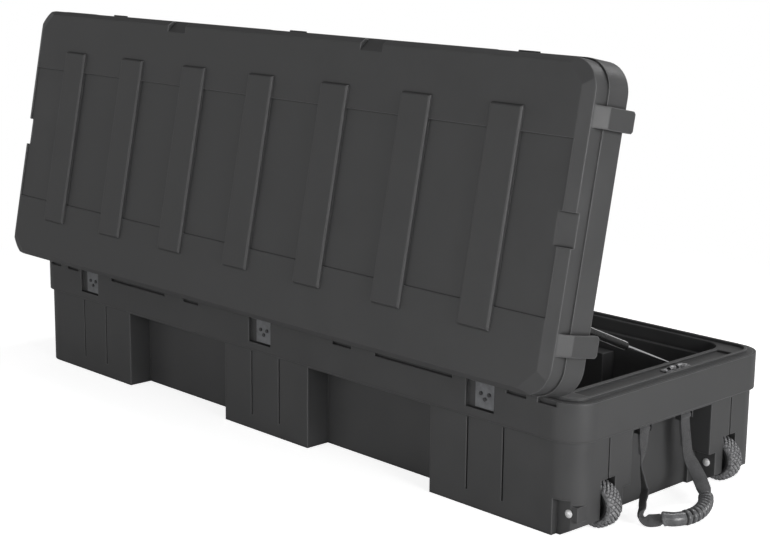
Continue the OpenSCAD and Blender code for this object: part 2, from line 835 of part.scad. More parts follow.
module hinge_lid_screws() {
    color("#b9babd") open_lid() hinge_lid_screw_set(screw_radius, true);
}

module latch_bracket(place) {
    outer = pocket_width / 2 - 2;
    inner = lever_width / 2 + 0.5;
    color("#2a2b2d") translate([place, 0, 0]) difference() {
        union() {
            block([-outer, outer], [pocket_y, pocket_y + latch_plate], [latch_z - 32, latch_z - 8]);
            for (x = [[-outer, -inner], [inner, outer]]) {
                block(x, [pocket_y, half_depth], [latch_z - 9, latch_z + 6]);
                bar_x(6, x, half_depth, latch_z);
            }
        }
        bar_x(latch_pin_radius, [-far, far], half_depth, latch_z);
        for (side = [-1, 1])
            translate([side * 24, pocket_y + latch_plate, latch_z - 16]) rotate([90, 0, 0]) {
                cylinder(r = screw_radius + screw_play, h = latch_plate + cut, $fn = 32);
                cylinder(r = screw_head_radius, h = latch_head_height, $fn = 32);
            }
    }
}

// Lever drawn hanging from its pin, with the window that takes the keeper's nose
module latch_lever(place) {
    window = [nose_reach - nose_height / 2 - window_play, nose_reach + nose_height / 2 + window_play];
    window_half = nose_width / 2 + window_play;
    color("#2a2b2d") translate([place, half_depth, latch_z]) difference() {
        union() {
            bar_x(latch_barrel, [-lever_width / 2, lever_width / 2], 0, 0);
            block([-lever_width / 2, lever_width / 2], [-lever_thick / 2, lever_thick / 2],
                  [-lever_reach, 0]);
            bar_x(lever_thick / 2, [-lever_width / 2, lever_width / 2], 0, -lever_reach);
        }
        bar_x(latch_pin_radius + running_play, [-far, far], 0, 0);
        block([-window_half, window_half], [-far, far], [-window[1], -window[0]]);
    }
}

module latch_pin(place) {
    reach = pocket_width / 2 - 2;
    color("#9a9b9e") bar_x(latch_pin_radius, [place - reach, place + reach], half_depth, latch_z);
}

module latch_keeper(place) {
    color("#2a2b2d") open_lid() translate([place, 0, 0]) difference() {
        union() {
            block([-lever_width / 2, lever_width / 2], [pocket_y, pocket_y + keeper_thick],
                  [nose_z - 6, nose_z + 22]);
            along_x([-nose_width / 2, nose_width / 2])
                polygon([[pocket_y + cut, nose_z - nose_height / 2],
                         [half_depth + lever_thick / 2 + 2, nose_z - nose_height / 2 + 1],
                         [half_depth + lever_thick / 2 + 2, nose_z + nose_height / 2 - 1],
                         [pocket_y + cut, nose_z + nose_height / 2]]);
        }
        for (side = [-1, 1])
            translate([side * 24, pocket_y + keeper_thick, nose_z + 14]) rotate([90, 0, 0]) {
                cylinder(r = screw_radius + screw_play, h = keeper_thick + cut, $fn = 32);
                cylinder(r = screw_head_radius, h = latch_head_height, $fn = 32);
            }
    }
}

module latch_screws() {
    color("#b9babd") front_screw_set(latch_z - 16, screw_radius, true, latch_plate);
}

module keeper_screws() {
    color("#b9babd") open_lid() front_screw_set(nose_z + 14, screw_radius, true, keeper_thick);
}

// Puts a strut drawn along +Y from its lid pivot in its open place on one side
module strut_place(side) {
    translate([side * strut_x, strut_top_y, strut_top_z]) rotate([strut_tilt, 0, 0]) children();
}

module strut_cylinder(side) {
    color("#303133") strut_place(side) difference() {
        union() {
            bar_x(eye_radius, [-eye_half, eye_half], 0, 0);
            bar_y(neck_radius, 0, [eye_radius - 2, 24], 0);
            bar_y(strut_radius, 0, [20, strut_length], 0);
        }
        bar_x(stud_radius + running_play, [-far, far], 0, 0);
        bar_y(rod_radius + running_play, 0, [32, far], 0);
    }
}

module strut_rod(side) {
    color("#c9cacd") strut_place(side) {
        difference() {
            union() {
                bar_y(rod_radius, 0, [strut_length - 16, strut_span - 20], 0);
                bar_y(neck_radius, 0, [strut_span - 24, strut_span - eye_radius + 2], 0);
                bar_x(eye_radius, [-eye_half, eye_half], strut_span, 0);
            }
            bar_x(stud_radius + running_play, [-far, far], strut_span, 0);
        }
    }
}

// Stud on its plate: the plate lies on the end wall and the stud points to the box's middle
module stud(side, y, z, reach) {
    plate_x = cavity_x - stud_plate;
    mirror([side < 0 ? 1 : 0, 0, 0]) {
        block([plate_x, cavity_x], [y - stud_plate_wide, y + stud_plate_wide],
              [z - stud_plate_half, z + stud_plate_half]);
        bar_x(stud_radius, [reach, plate_x + cut], y, z);
    }
}

module strut_lid_stud(side) {
    head_x = strut_x - eye_half - 0.5;
    color("#9a9b9e") open_lid() {
        stud(side, strut_lid_y, strut_lid_z, head_x - 2);
        mirror([side < 0 ? 1 : 0, 0, 0])
            bar_x(stud_radius + 2, [head_x - 2, head_x], strut_lid_y, strut_lid_z);
    }
}

module strut_tub_stud(side) {
    color("#9a9b9e") stud(side, strut_tub_y, strut_tub_z, strut_x + eye_half + stud_gap);
}

// Tyre with tread blocks, drawn for the wheel at one side
module wheel_tyre(side) {
    low = wheel_spacing - tyre_width / 2;
    color("#6d6e71") mirror([0, side < 0 ? 1 : 0, 0]) translate([axle_x, low, axle_z])
        rotate([-90, 0, 0]) difference() {
            cylinder(r = wheel_radius, h = tyre_width, $fn = 96);
            translate([0, 0, -cut])
                cylinder(r = wheel_radius - tyre_thick, h = tyre_width + 2 * cut, $fn = 96);
            for (i = [0:tread_blocks - 1], row = [0, 1])
                rotate([0, 0, (i + row / 2) * 360 / tread_blocks])
                    translate([wheel_radius - tread_depth, -1.6, row * tyre_width - 0.36 * tyre_width])
                        cube([2 * tread_depth, 3.2, 0.72 * tyre_width]);
        }
}

module wheel_hub(side) {
    rim = wheel_radius - tyre_thick;
    low = wheel_spacing - hub_width / 2;
    color("#2b2c2e") mirror([0, side < 0 ? 1 : 0, 0]) translate([axle_x, low, axle_z])
        rotate([-90, 0, 0]) difference() {
            union() {
                translate([0, 0, (hub_width - tyre_width) / 2]) cylinder(r = rim, h = tyre_width, $fn = 96);
                cylinder(r = bush_radius + 4, h = hub_width, $fn = 64);
            }
            for (low_cut = [-cut, hub_width / 2 + 5]) translate([0, 0, low_cut]) difference() {
                cylinder(r = rim - 4, h = hub_width / 2 - 5 + cut, $fn = 96);
                translate([0, 0, -cut]) cylinder(r = bush_radius + 4, h = hub_width, $fn = 64);
            }
            translate([0, 0, -cut]) cylinder(r = bush_radius, h = hub_width + 2 * cut, $fn = 64);
        }
}

module wheel_bush(side) {
    half = hub_width / 2;
    color("#b08d4a") mirror([0, side < 0 ? 1 : 0, 0]) difference() {
        bar_y(bush_radius, axle_x, [wheel_spacing - half, wheel_spacing + half], axle_z);
        bar_y(axle_radius + running_play, axle_x, [0, far], axle_z);
    }
}

// Axle bolts: both heads face the hinge side, so the front one starts inside the handle recess
module axle_bolt(side) {
    head_y = side < 0 ? -bolt_face_out : bolt_face_in;
    tail_y = (side < 0 ? -bolt_face_in : nut_seat) + bolt_tail;
    color("#d4d5d7") {
        bar_y(axle_radius, axle_x, [head_y - cut, tail_y], axle_z);
        translate([axle_x, head_y, axle_z]) rotate([90, 0, 0])
            intersection() {
                cylinder(r = bolt_head_radius, h = bolt_head_height, $fn = 48);
                translate([0, 0, bolt_head_height - 10]) sphere(r = 10, $fn = 64);
            }
    }
}

module axle_washers() {
    color("#b9babd") both_y() for (y = [well_in, well_out - washer_thick])
        difference() {
            bar_y(washer_radius, axle_x, [y, y + washer_thick], axle_z);
            bar_y(axle_radius + running_play, axle_x, [0, far], axle_z);
        }
}

module axle_nuts() {
    color("#b9babd") for (y = [-bolt_face_in, nut_seat])
        difference() {
            translate([axle_x, y, axle_z]) rotate([-90, 0, 0]) cylinder(r = 7.5, h = nut_thick, $fn = 6);
            bar_y(axle_radius, axle_x, [y - cut, y + nut_thick + cut], axle_z);
        }
}

function unit(v) = v / norm(v);

// Point on the smooth curve through a route, at a place counted in route points
function route_point(path, place) =
    let (i = min(floor(place), len(path) - 2), u = place - i,
         a = path[max(i - 1, 0)], b = path[i], c = path[i + 1], d = path[min(i + 2, len(path) - 1)])
    0.5 * (2 * b + (c - a) * u + (2 * a - 5 * b + 4 * c - d) * u * u + (3 * b - a - 3 * c + d) * u * u * u);

// Ring of section points round the route at one place
function route_ring(place, section) =
    let (p = route_point(strap_route, place),
         t = unit(route_point(strap_route, min(place + 0.05, len(strap_route) - 1))
                  - route_point(strap_route, max(place - 0.05, 0))),
         raw = route_point(strap_across, place),
         w = unit(raw - (raw * t) * t), n = cross(t, w))
    [for (q = section) p + q[0] * w + q[1] * n];

// Solid swept along the strap's route through the given places, with one section for each
module swept(places, sections) {
    m = len(sections[0]);
    last = len(places) - 1;
    points = [for (k = [0:last]) each route_ring(places[k], sections[k])];
    sides = [for (k = [0:last - 1], j = [0:m - 1], half = [0, 1]) half == 0
        ? [k * m + j, (k + 1) * m + j, (k + 1) * m + (j + 1) % m]
        : [k * m + j, (k + 1) * m + (j + 1) % m, k * m + (j + 1) % m]];
    start = [for (j = [0:m - 1]) j];
    end = [for (j = [m - 1:-1:0]) last * m + j];
    polyhedron(points = points, faces = concat([start], sides, [end]));
}

function flat_section(width, thick) =
    [[-width / 2, -thick / 2], [width / 2, -thick / 2], [width / 2, thick / 2], [-width / 2, thick / 2]];

function round_section(radius) = [for (j = [0:15]) radius * [cos(j * 22.5), sin(j * 22.5)]];

// Webbing along part of the route, in loose steps: it is folded to a core where the grip covers it
module webbing(first, last, extra) {
    count = ceil((last - first) * strap_steps);
    places = [for (k = [0:count]) first + (last - first) * k / count];
    swept(places, [for (p = places) p > grip_start - 0.2 && p < grip_end + 0.2
        ? flat_section(fold_width + extra, 2 * strap_thick + extra)
        : flat_section(strap_width + extra, strap_thick + extra)]);
}

// Puts a handle part drawn from the middle of the anchor line at one end
module handle_place(side) {
    mirror([side < 0 ? 1 : 0, 0, 0]) translate([anchor_x, -handle_shift, anchor_z]) children();
}

module handle_strap(side) {
    ends = len(strap_route) - 1;
    color("#1f2022") handle_place(side) {
        webbing(0, ends, 0);
        both_y() difference() {
            bar_y(anchor_ring_radius, 0,
                  [anchor_spacing - strap_width / 2, anchor_spacing + strap_width / 2], 0);
            bar_y(anchor_radius + running_play, 0, [0, far], 0);
        }
    }
}

// Rubber grip: a smooth sleeve at one end and ribs along the rest
module handle_grip(side) {
    places = [for (k = [0:grip_steps]) grip_start + (grip_end - grip_start) * k / grip_steps];
    ribs_from = 0.24 * grip_steps;
    radii = [for (k = [0:grip_steps])
        k < ribs_from ? sleeve_radius : grip_radius - (floor(k / 2) % 2) * grip_rib];
    color("#4b4c4f") handle_place(side) difference() {
        swept(places, [for (r = radii) round_section(r)]);
        webbing(grip_start - 0.1, grip_end + 0.1, 0.6);
    }
}

module handle_anchors(side) {
    ear = anchor_width / 2;
    color("#9a9b9e") handle_place(side) both_y() translate([0, anchor_spacing, 0]) {
        difference() {
            block([-20, 8], [-ear, ear], [anchor_drop - anchor_plate, anchor_drop]);
            for (x = [-13, 3])
                bar_z(screw_radius + screw_play, x, 0, [0, far]);
        }
        for (y = [[-ear, -ear + anchor_ear], [ear - anchor_ear, ear]])
            block([-6, 6], y, [-5, anchor_drop - anchor_plate + cut]);
        bar_y(anchor_radius, 0, [-ear, ear], 0);
    }
}

module anchor_screws() {
    color("#b9babd") anchor_screw_set(screw_radius, true);
}

module opener_plate() {
    base = tub_height - ledge_depth;
    color("#c3c4c7") difference() {
        union() {
            block([opener_x - opener_width / 2, opener_x + opener_width / 2],
                  [opener_y - opener_length / 2, opener_y + opener_length / 2], [base, base + opener_thick]);
            for (side = [-1, 1])
                bar_y(opener_horn, opener_x, [opener_y + side * 11 - 8, opener_y + side * 11 + 8],
                      base + opener_thick);
        }
        block([opener_x - opener_width, opener_x + opener_width], [-far, far], [0, base]);
        opener_screw_set(screw_radius + screw_play, false);
        bar_y(opener_horn - 2.2, opener_x, [-far, far], base + opener_thick + 0.4);
    }
}

module opener_screws() {
    color("#b9babd") opener_screw_set(screw_radius, true);
}

module drain_tube() {
    color("#2a2b2d") difference() {
        bar_x(drain_radius + drain_wall, [-wall_x, -cavity_x], drain_y, drain_z);
        bar_x(drain_radius, [-wall_x - cut, -cavity_x + cut], drain_y, drain_z);
    }
}

module drain_plug() {
    color("#1f2022") {
        bar_x(drain_radius - screw_play, [-wall_x - cut, -wall_x + 24], drain_y, drain_z);
        bar_x(drain_knob_radius, [-wall_x - 8, -wall_x], drain_y, drain_z);
        block([-wall_x - 14, -wall_x - 7], [drain_y - 12, drain_y + 12], [drain_z - 2.5, drain_z + 2.5]);
    }
}

tub_shell();
tub_liner();
lid_shell();
lid_pan();
lid_gasket();
hinge_tub_leaf(-hinge_pitch);  // hinge_tub_leaf_left
hinge_tub_leaf(0);  // hinge_tub_leaf_mid
hinge_tub_leaf(hinge_pitch);  // hinge_tub_leaf_right
hinge_lid_leaf(-hinge_pitch);  // hinge_lid_leaf_left
hinge_lid_leaf(0);  // hinge_lid_leaf_mid
hinge_lid_leaf(hinge_pitch);  // hinge_lid_leaf_right
hinge_pin(-hinge_pitch);  // hinge_pin_left
hinge_pin(0);  // hinge_pin_mid
hinge_pin(hinge_pitch);  // hinge_pin_right
hinge_tub_screws();
hinge_lid_screws();
latch_bracket(-hinge_pitch);  // latch_bracket_left
latch_bracket(0);  // latch_bracket_mid
latch_bracket(hinge_pitch);  // latch_bracket_right
latch_lever(-hinge_pitch);  // latch_lever_left
latch_lever(0);  // latch_lever_mid
latch_lever(hinge_pitch);  // latch_lever_right
latch_pin(-hinge_pitch);  // latch_pin_left
latch_pin(0);  // latch_pin_mid
latch_pin(hinge_pitch);  // latch_pin_right
latch_keeper(-hinge_pitch);  // latch_keeper_left
latch_keeper(0);  // latch_keeper_mid
latch_keeper(hinge_pitch);  // latch_keeper_right
latch_screws();
keeper_screws();
strut_cylinder(-1);  // strut_cylinder_left
strut_cylinder(1);  // strut_cylinder_right
strut_rod(-1);  // strut_rod_left
strut_rod(1);  // strut_rod_right
strut_lid_stud(-1);  // strut_lid_stud_left
strut_lid_stud(1);  // strut_lid_stud_right
strut_tub_stud(-1);  // strut_tub_stud_left
strut_tub_stud(1);  // strut_tub_stud_right
wheel_tyre(-1);  // wheel_tyre_back
wheel_tyre(1);  // wheel_tyre_front
wheel_hub(-1);  // wheel_hub_back
wheel_hub(1);  // wheel_hub_front
wheel_bush(-1);  // wheel_bush_back
wheel_bush(1);  // wheel_bush_front
axle_bolt(-1);  // axle_bolt_back
axle_bolt(1);  // axle_bolt_front
axle_washers();
axle_nuts();
handle_strap(-1);  // handle_strap_left
handle_strap(1);  // handle_strap_right
handle_grip(-1);  // handle_grip_left
handle_grip(1);  // handle_grip_right
handle_anchors(-1);  // handle_anchors_left
handle_anchors(1);  // handle_anchors_right
anchor_screws();
opener_plate();
opener_screws();
drain_tube();
drain_plug();
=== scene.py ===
# %% [markdown]
# This is a long moulded plastic trunk on two wheels. Its ribbed lid is propped open on gas struts.
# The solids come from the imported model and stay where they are. Everything could be modelled again
# here, but then the looks and the joints would drift apart. So this lesson only dresses the solids:
# it gives each surface its finish, and it makes the soft and fine pieces that they can't show.
# All lengths are in metres, and the floor is at height 0.

# %% Load the solids
import math

import bmesh
import bpy
import numpy as np
from mathutils import Matrix, Vector


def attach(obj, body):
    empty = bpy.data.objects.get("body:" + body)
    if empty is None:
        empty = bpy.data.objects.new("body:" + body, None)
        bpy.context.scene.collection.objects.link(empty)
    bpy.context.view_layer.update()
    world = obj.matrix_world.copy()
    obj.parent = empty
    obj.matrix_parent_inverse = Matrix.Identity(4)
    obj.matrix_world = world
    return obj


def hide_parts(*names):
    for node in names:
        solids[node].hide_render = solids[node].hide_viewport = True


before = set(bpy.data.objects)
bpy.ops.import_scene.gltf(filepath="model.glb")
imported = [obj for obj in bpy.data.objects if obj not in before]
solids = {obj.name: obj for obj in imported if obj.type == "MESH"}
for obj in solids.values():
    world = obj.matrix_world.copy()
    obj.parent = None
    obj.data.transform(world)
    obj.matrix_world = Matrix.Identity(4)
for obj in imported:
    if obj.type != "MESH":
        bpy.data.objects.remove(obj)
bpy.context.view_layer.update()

# %% [markdown]
# The camera stands to the right of the box's back, a little above the lid's middle. It could be
# aimed by eye, but matching corners of the box gives its place more closely. So it is written as
# a point, three turns and a lens, and a small shift of the lens keeps the box well in the picture.

# %% Place the camera
camera_place = Vector((2.2835, -2.1682, 0.9631))
turn_left, look_down, lean = 0.799, 0.207, 0.012
lens_length, lens_shift, far_limit = 76.07, (0.0008, -0.0188), 60


def add_object(name, data):
    piece = bpy.data.objects.new(name, data)
    bpy.context.scene.collection.objects.link(piece)
    return piece


def camera_axes(turn, down, roll):
    level = math.cos(down)
    ahead = Vector((-math.sin(turn) * level, math.cos(turn) * level, -math.sin(down)))
    right = Vector((math.cos(turn), math.sin(turn), 0))
    above = right.cross(ahead)
    tilted_right = math.cos(roll) * right + math.sin(roll) * above
    tilted_above = -math.sin(roll) * right + math.cos(roll) * above
    return tilted_right, tilted_above, -ahead


camera_data = bpy.data.cameras.new("photo_camera")
camera_data.lens = lens_length
camera_data.sensor_width = 36
camera_data.shift_x, camera_data.shift_y = lens_shift
camera_data.clip_end = far_limit
camera = add_object("photo_camera", camera_data)
axes = camera_axes(turn_left, look_down, lean)
camera.matrix_world = Matrix.Translation(camera_place) @ Matrix(axes).transposed().to_4x4()
bpy.context.scene.camera = camera
bpy.context.scene.view_settings.view_transform = "Standard"
print("camera at", tuple(round(v, 3) for v in camera_place))

# %% [markdown]
# A finish is a small network of nodes. It could be wired by hand in the shader editor, but code is
# easier to read and to repeat. These helpers add a node with its values, join two sockets, and
# start a material or a group of nodes. A value called From_Min goes to the socket "From Min".


# %% Helpers for node networks
def set_socket(node, key, value):
    node.inputs[key.replace("_", " ")].default_value = value


def add_node(tree, kind, **values):
    found = tree.nodes.new(kind)
    for key, value in values.items():
        if hasattr(found, key):
            setattr(found, key, value)
        else:
            set_socket(found, key, value)
    return found


def join(tree, source, target):
    tree.links.new(source, target)


def start_material(name, **shader_values):
    material = bpy.data.materials.new(name)
    material.use_nodes = True
    tree = material.node_tree
    shader = tree.nodes["Principled BSDF"]
    for key, value in shader_values.items():
        set_socket(shader, key, value)
    return material, tree, shader


print("material helpers ready")

# %% [markdown]
# An effect that several finishes share is a group: a network with named inputs and outputs that is
# built once. Copying its nodes into each material would work too, but then a mend in one would be
# missed in the others.

# %% Helpers for groups
FLOAT, COLOUR = "NodeSocketFloat", "NodeSocketColor"


def start_group(name, inputs, outputs):
    group = bpy.data.node_groups.new(name, "ShaderNodeTree")
    for label, kind, value in inputs:
        socket = group.interface.new_socket(name=label, in_out="INPUT", socket_type=kind)
        if value is not None:
            socket.default_value = value
    for label, kind in outputs:
        group.interface.new_socket(name=label, in_out="OUTPUT", socket_type=kind)
    return group, group.nodes.new("NodeGroupInput"), group.nodes.new("NodeGroupOutput")


def place_group(tree, group, **values):
    found = tree.nodes.new("ShaderNodeGroup")
    found.node_tree = group
    for key, value in values.items():
        set_socket(found, key, value)
    return found


print("group helpers ready")

# %% [markdown]
# Moulded polyethylene has a skin like fine orange peel. A picture of it could be wrapped round each
# piece, but a picture stretches and ends in seams. Noise in real metres needs no wrapping, so this
# group mixes a fine grain with a coarser peel, and its output is the height of the skin.

# %% Group: moulded skin
moulded_skin, skin_in, skin_out = start_group(
    "moulded_skin",
    [("Grain Scale", FLOAT, 1400.0), ("Peel Scale", FLOAT, 160.0), ("Peel Share", FLOAT, 0.5)],
    [("Height", FLOAT)],
)
skin_place = add_node(moulded_skin, "ShaderNodeTexCoord")
skin_grain = add_node(moulded_skin, "ShaderNodeTexNoise", Detail=2.0)
skin_peel = add_node(moulded_skin, "ShaderNodeTexNoise", Detail=1.0)
skin_mix = add_node(moulded_skin, "ShaderNodeMix", data_type="FLOAT")
join(moulded_skin, skin_place.outputs["Object"], skin_grain.inputs["Vector"])
join(moulded_skin, skin_place.outputs["Object"], skin_peel.inputs["Vector"])
join(moulded_skin, skin_in.outputs["Grain Scale"], skin_grain.inputs["Scale"])
join(moulded_skin, skin_in.outputs["Peel Scale"], skin_peel.inputs["Scale"])
join(moulded_skin, skin_in.outputs["Peel Share"], skin_mix.inputs["Factor"])
join(moulded_skin, skin_grain.outputs["Fac"], skin_mix.inputs["A"])
join(moulded_skin, skin_peel.outputs["Fac"], skin_mix.inputs["B"])
join(moulded_skin, skin_mix.outputs["Result"], skin_out.inputs["Height"])
print("group:", moulded_skin.name)

# %% [markdown]
# Long use polishes and dusts a surface unevenly. Each finish could have its patches painted on, but
# soft noise gives them everywhere at once. This group mixes two colours by it and gives a matching
# roughness, so plastic, rubber and painted steel can all share it.

# %% Group: uneven tone
noise_low, noise_high = 0.32, 0.68
uneven_tone, tone_in, tone_out = start_group(
    "uneven_tone",
    [("Colour A", COLOUR, None), ("Colour B", COLOUR, None), ("Scale", FLOAT, 12.0),
     ("Rough Low", FLOAT, 0.4), ("Rough High", FLOAT, 0.6)],
    [("Colour", COLOUR), ("Roughness", FLOAT)],
)
tone_place = add_node(uneven_tone, "ShaderNodeTexCoord")
tone_noise = add_node(uneven_tone, "ShaderNodeTexNoise", Detail=5.0, Roughness=0.6)
tone_range = add_node(uneven_tone, "ShaderNodeMapRange", From_Min=noise_low, From_Max=noise_high)
tone_mix = add_node(uneven_tone, "ShaderNodeMix", data_type="RGBA")
tone_rough = add_node(uneven_tone, "ShaderNodeMapRange")
join(uneven_tone, tone_place.outputs["Object"], tone_noise.inputs["Vector"])
join(uneven_tone, tone_in.outputs["Scale"], tone_noise.inputs["Scale"])
join(uneven_tone, tone_noise.outputs["Fac"], tone_range.inputs["Value"])
join(uneven_tone, tone_range.outputs["Result"], tone_mix.inputs["Factor"])
join(uneven_tone, tone_in.outputs["Colour A"], tone_mix.inputs["A"])
join(uneven_tone, tone_in.outputs["Colour B"], tone_mix.inputs["B"])
join(uneven_tone, tone_range.outputs["Result"], tone_rough.inputs["Value"])
join(uneven_tone, tone_in.outputs["Rough Low"], tone_rough.inputs["To Min"])
join(uneven_tone, tone_in.outputs["Rough High"], tone_rough.inputs["To Max"])
join(uneven_tone, tone_mix.outputs["Result"], tone_out.inputs["Colour"])
join(uneven_tone, tone_rough.outputs["Result"], tone_out.inputs["Roughness"])
print("group:", uneven_tone.name)

# %% [markdown]
# Convex edges get a painted highlight: a thin lighter line where they would catch the light. The
# pointiness of the mesh could tell them, but it needs many more points than flat faces have. Looking
# inwards from a face, the far side is near only beside a convex edge, so an inward occlusion gives a
# mask on any mesh.

# %% Group: painted edge highlight
highlight_none, highlight_full, shade_samples = 0.95, 0.55, 8
painted_edge_highlight, highlight_in, highlight_out = start_group(
    "painted_edge_highlight", [("Width", FLOAT, 0.002)], [("Mask", FLOAT)])
highlight_near = add_node(painted_edge_highlight, "ShaderNodeAmbientOcclusion",
                    samples=shade_samples, inside=True, only_local=True)
highlight_range = add_node(painted_edge_highlight, "ShaderNodeMapRange", From_Min=highlight_none, From_Max=highlight_full)
join(painted_edge_highlight, highlight_in.outputs["Width"], highlight_near.inputs["Distance"])
join(painted_edge_highlight, highlight_near.outputs["AO"], highlight_range.inputs["Value"])
join(painted_edge_highlight, highlight_range.outputs["Result"], highlight_out.inputs["Mask"])
print("group:", painted_edge_highlight.name)

# %% [markdown]
# Shade is painted into tight creases. The lamps alone leave those creases too light, because their
# light is soft and comes from many sides. So the finish is multiplied by a painted shade there, and
# one helper adds the node that does it.


# %% Helper: darken a colour
def darken(tree, colour, shade):
    darker = add_node(tree, "ShaderNodeMix", data_type="RGBA", blend_type="MULTIPLY", Factor=1.0)
    join(tree, colour, darker.inputs["A"])
    join(tree, shade, darker.inputs["B"])
    return darker.outputs["Result"]


print("darkening helper ready")

# %% [markdown]
# A surface is then: uneven tone for colour and gloss, moulded skin for the bump, painted shade in
# creases, a painted highlight on convex edges, and edges that look rounded by a few millimetres.
# Real fillets on the solids could round them too, but the solids stay as they are. A Bevel node only
# turns the shading at an edge.

# %% Build a surface material
skin_relief, crease_shade_open, highlight_gain, bevel_samples = 0.0003, 0.82, 2.5, 6


def surface(name, dark, light, rough, bump=0.12, round_edge=0.0012, crease_shade=0.0,
            crease_shade_levels=(0.35, 0.35), edge_highlight=0.0, tone_scale=12.0, **shader_values):
    material, tree, shader = start_material(name, **shader_values)
    tone = place_group(tree, uneven_tone, Colour_A=(*dark, 1), Colour_B=(*light, 1),
                       Scale=tone_scale, Rough_Low=rough[0], Rough_High=rough[1])
    skin = place_group(tree, moulded_skin)
    bumped = add_node(tree, "ShaderNodeBump", Strength=bump, Distance=skin_relief)
    join(tree, skin.outputs["Height"], bumped.inputs["Height"])
    if round_edge > 0:
        rounded = add_node(tree, "ShaderNodeBevel", samples=bevel_samples, Radius=round_edge)
        join(tree, rounded.outputs["Normal"], bumped.inputs["Normal"])
    join(tree, bumped.outputs["Normal"], shader.inputs["Normal"])
    join(tree, tone.outputs["Roughness"], shader.inputs["Roughness"])
    colour = tone.outputs["Colour"]
    # Painted shade: the colour is darkened where the occlusion finds a crease.
    if crease_shade > 0:
        near = add_node(tree, "ShaderNodeAmbientOcclusion", samples=shade_samples, Distance=crease_shade)
        shade = add_node(tree, "ShaderNodeMapRange", From_Min=crease_shade_levels[0],
                         From_Max=crease_shade_open, To_Min=crease_shade_levels[1])
        join(tree, near.outputs["AO"], shade.inputs["Value"])
        colour = darken(tree, colour, shade.outputs["Result"])
    # A painted highlight lightens the colour along convex edges.
    if edge_highlight > 0:
        edges = place_group(tree, painted_edge_highlight, Width=edge_highlight)
        highlight_colour = (*(highlight_gain * value for value in light), 1)
        lighter = add_node(tree, "ShaderNodeMix", data_type="RGBA", B=highlight_colour)
        join(tree, edges.outputs["Mask"], lighter.inputs["Factor"])
        join(tree, colour, lighter.inputs["A"])
        colour = lighter.outputs["Result"]
    join(tree, colour, shader.inputs["Base Color"])
    return material


print("surface helper ready")

# %% [markdown]
# The tub and the lid are charcoal polyethylene. One material could serve both, but the lid's raised
# bars stand in narrower creases than the tub's bands and get a deeper painted shade there, so the
# lid has its own, with the same colours. Latches and hubs are a smoother black plastic. The seal in
# the lid is dull rubber.

# %% Plastics
charcoal_dark, charcoal_light = (0.050, 0.050, 0.051), (0.060, 0.060, 0.061)
charcoal_rough = (0.42, 0.56)
charcoal_plastic = surface("charcoal_plastic", charcoal_dark, charcoal_light, charcoal_rough,
                           round_edge=0.005, crease_shade=0.010, edge_highlight=0.0015)
lid_plastic = surface("lid_plastic", charcoal_dark, charcoal_light, charcoal_rough,
                      round_edge=0.004, crease_shade=0.009, crease_shade_levels=(0.48, 0.10), edge_highlight=0.0016)
black_trim = surface("black_trim", (0.022, 0.022, 0.023), (0.034, 0.034, 0.035), (0.32, 0.46))
seal_rubber = surface("seal_rubber", (0.010, 0.010, 0.010), (0.018, 0.018, 0.018), (0.7, 0.85),
                      bump=0.3)
print("plastics:", charcoal_plastic.name, lid_plastic.name, black_trim.name, seal_rubber.name)

# %% [markdown]
# The hinges are painted steel, the screws are zinc-plated or blackened, and the small bottle hook
# is cast. A plain metallic grey would look like plastic at this size. Patches a few millimetres
# wide, from dull to bright, tell the eye that it is metal, so these have a fine tone scale.

# %% Metals
hinge_paint = surface("hinge_paint", (0.17, 0.173, 0.18), (0.24, 0.245, 0.255), (0.34, 0.5),
                      tone_scale=90.0, round_edge=0.0008, Metallic=0.6)
zinc_steel = surface("zinc_steel", (0.50, 0.50, 0.51), (0.72, 0.72, 0.73), (0.2, 0.42),
                     tone_scale=220.0, round_edge=0.0005, Metallic=1.0)
cast_alloy = surface("cast_alloy", (0.10, 0.10, 0.105), (0.46, 0.46, 0.47), (0.25, 0.5),
                     tone_scale=260.0, bump=0.5, crease_shade=0.006, Metallic=0.8)
dark_steel = surface("dark_steel", (0.05, 0.05, 0.052), (0.11, 0.11, 0.113), (0.35, 0.5),
                     tone_scale=200.0, round_edge=0.0005, Metallic=0.7)
bolt_zinc = surface("bolt_zinc", (0.74, 0.74, 0.74), (0.9, 0.9, 0.9), (0.3, 0.42),
                    tone_scale=300.0, round_edge=0.0008, Metallic=0.35)
strut_chrome = surface("strut_chrome", (0.62, 0.62, 0.64), (0.75, 0.75, 0.76), (0.08, 0.18),
                       bump=0.0, Metallic=1.0)
bush_brass = surface("bush_brass", (0.45, 0.33, 0.15), (0.62, 0.47, 0.22), (0.3, 0.45),
                     Metallic=1.0)
print("metals:", hinge_paint.name, zinc_steel.name, cast_alloy.name, dark_steel.name,
      bolt_zinc.name, strut_chrome.name, bush_brass.name)

# %% [markdown]
# A strut's cylinder is painted glossy black and shows a bright line along each side. A bright room
# around the box could give those lines by reflection, but it would also light the plastic. So a
# painted reflection turns the colour bright where the round tube turns away, as gloss does, by a
# Layer Weight node.

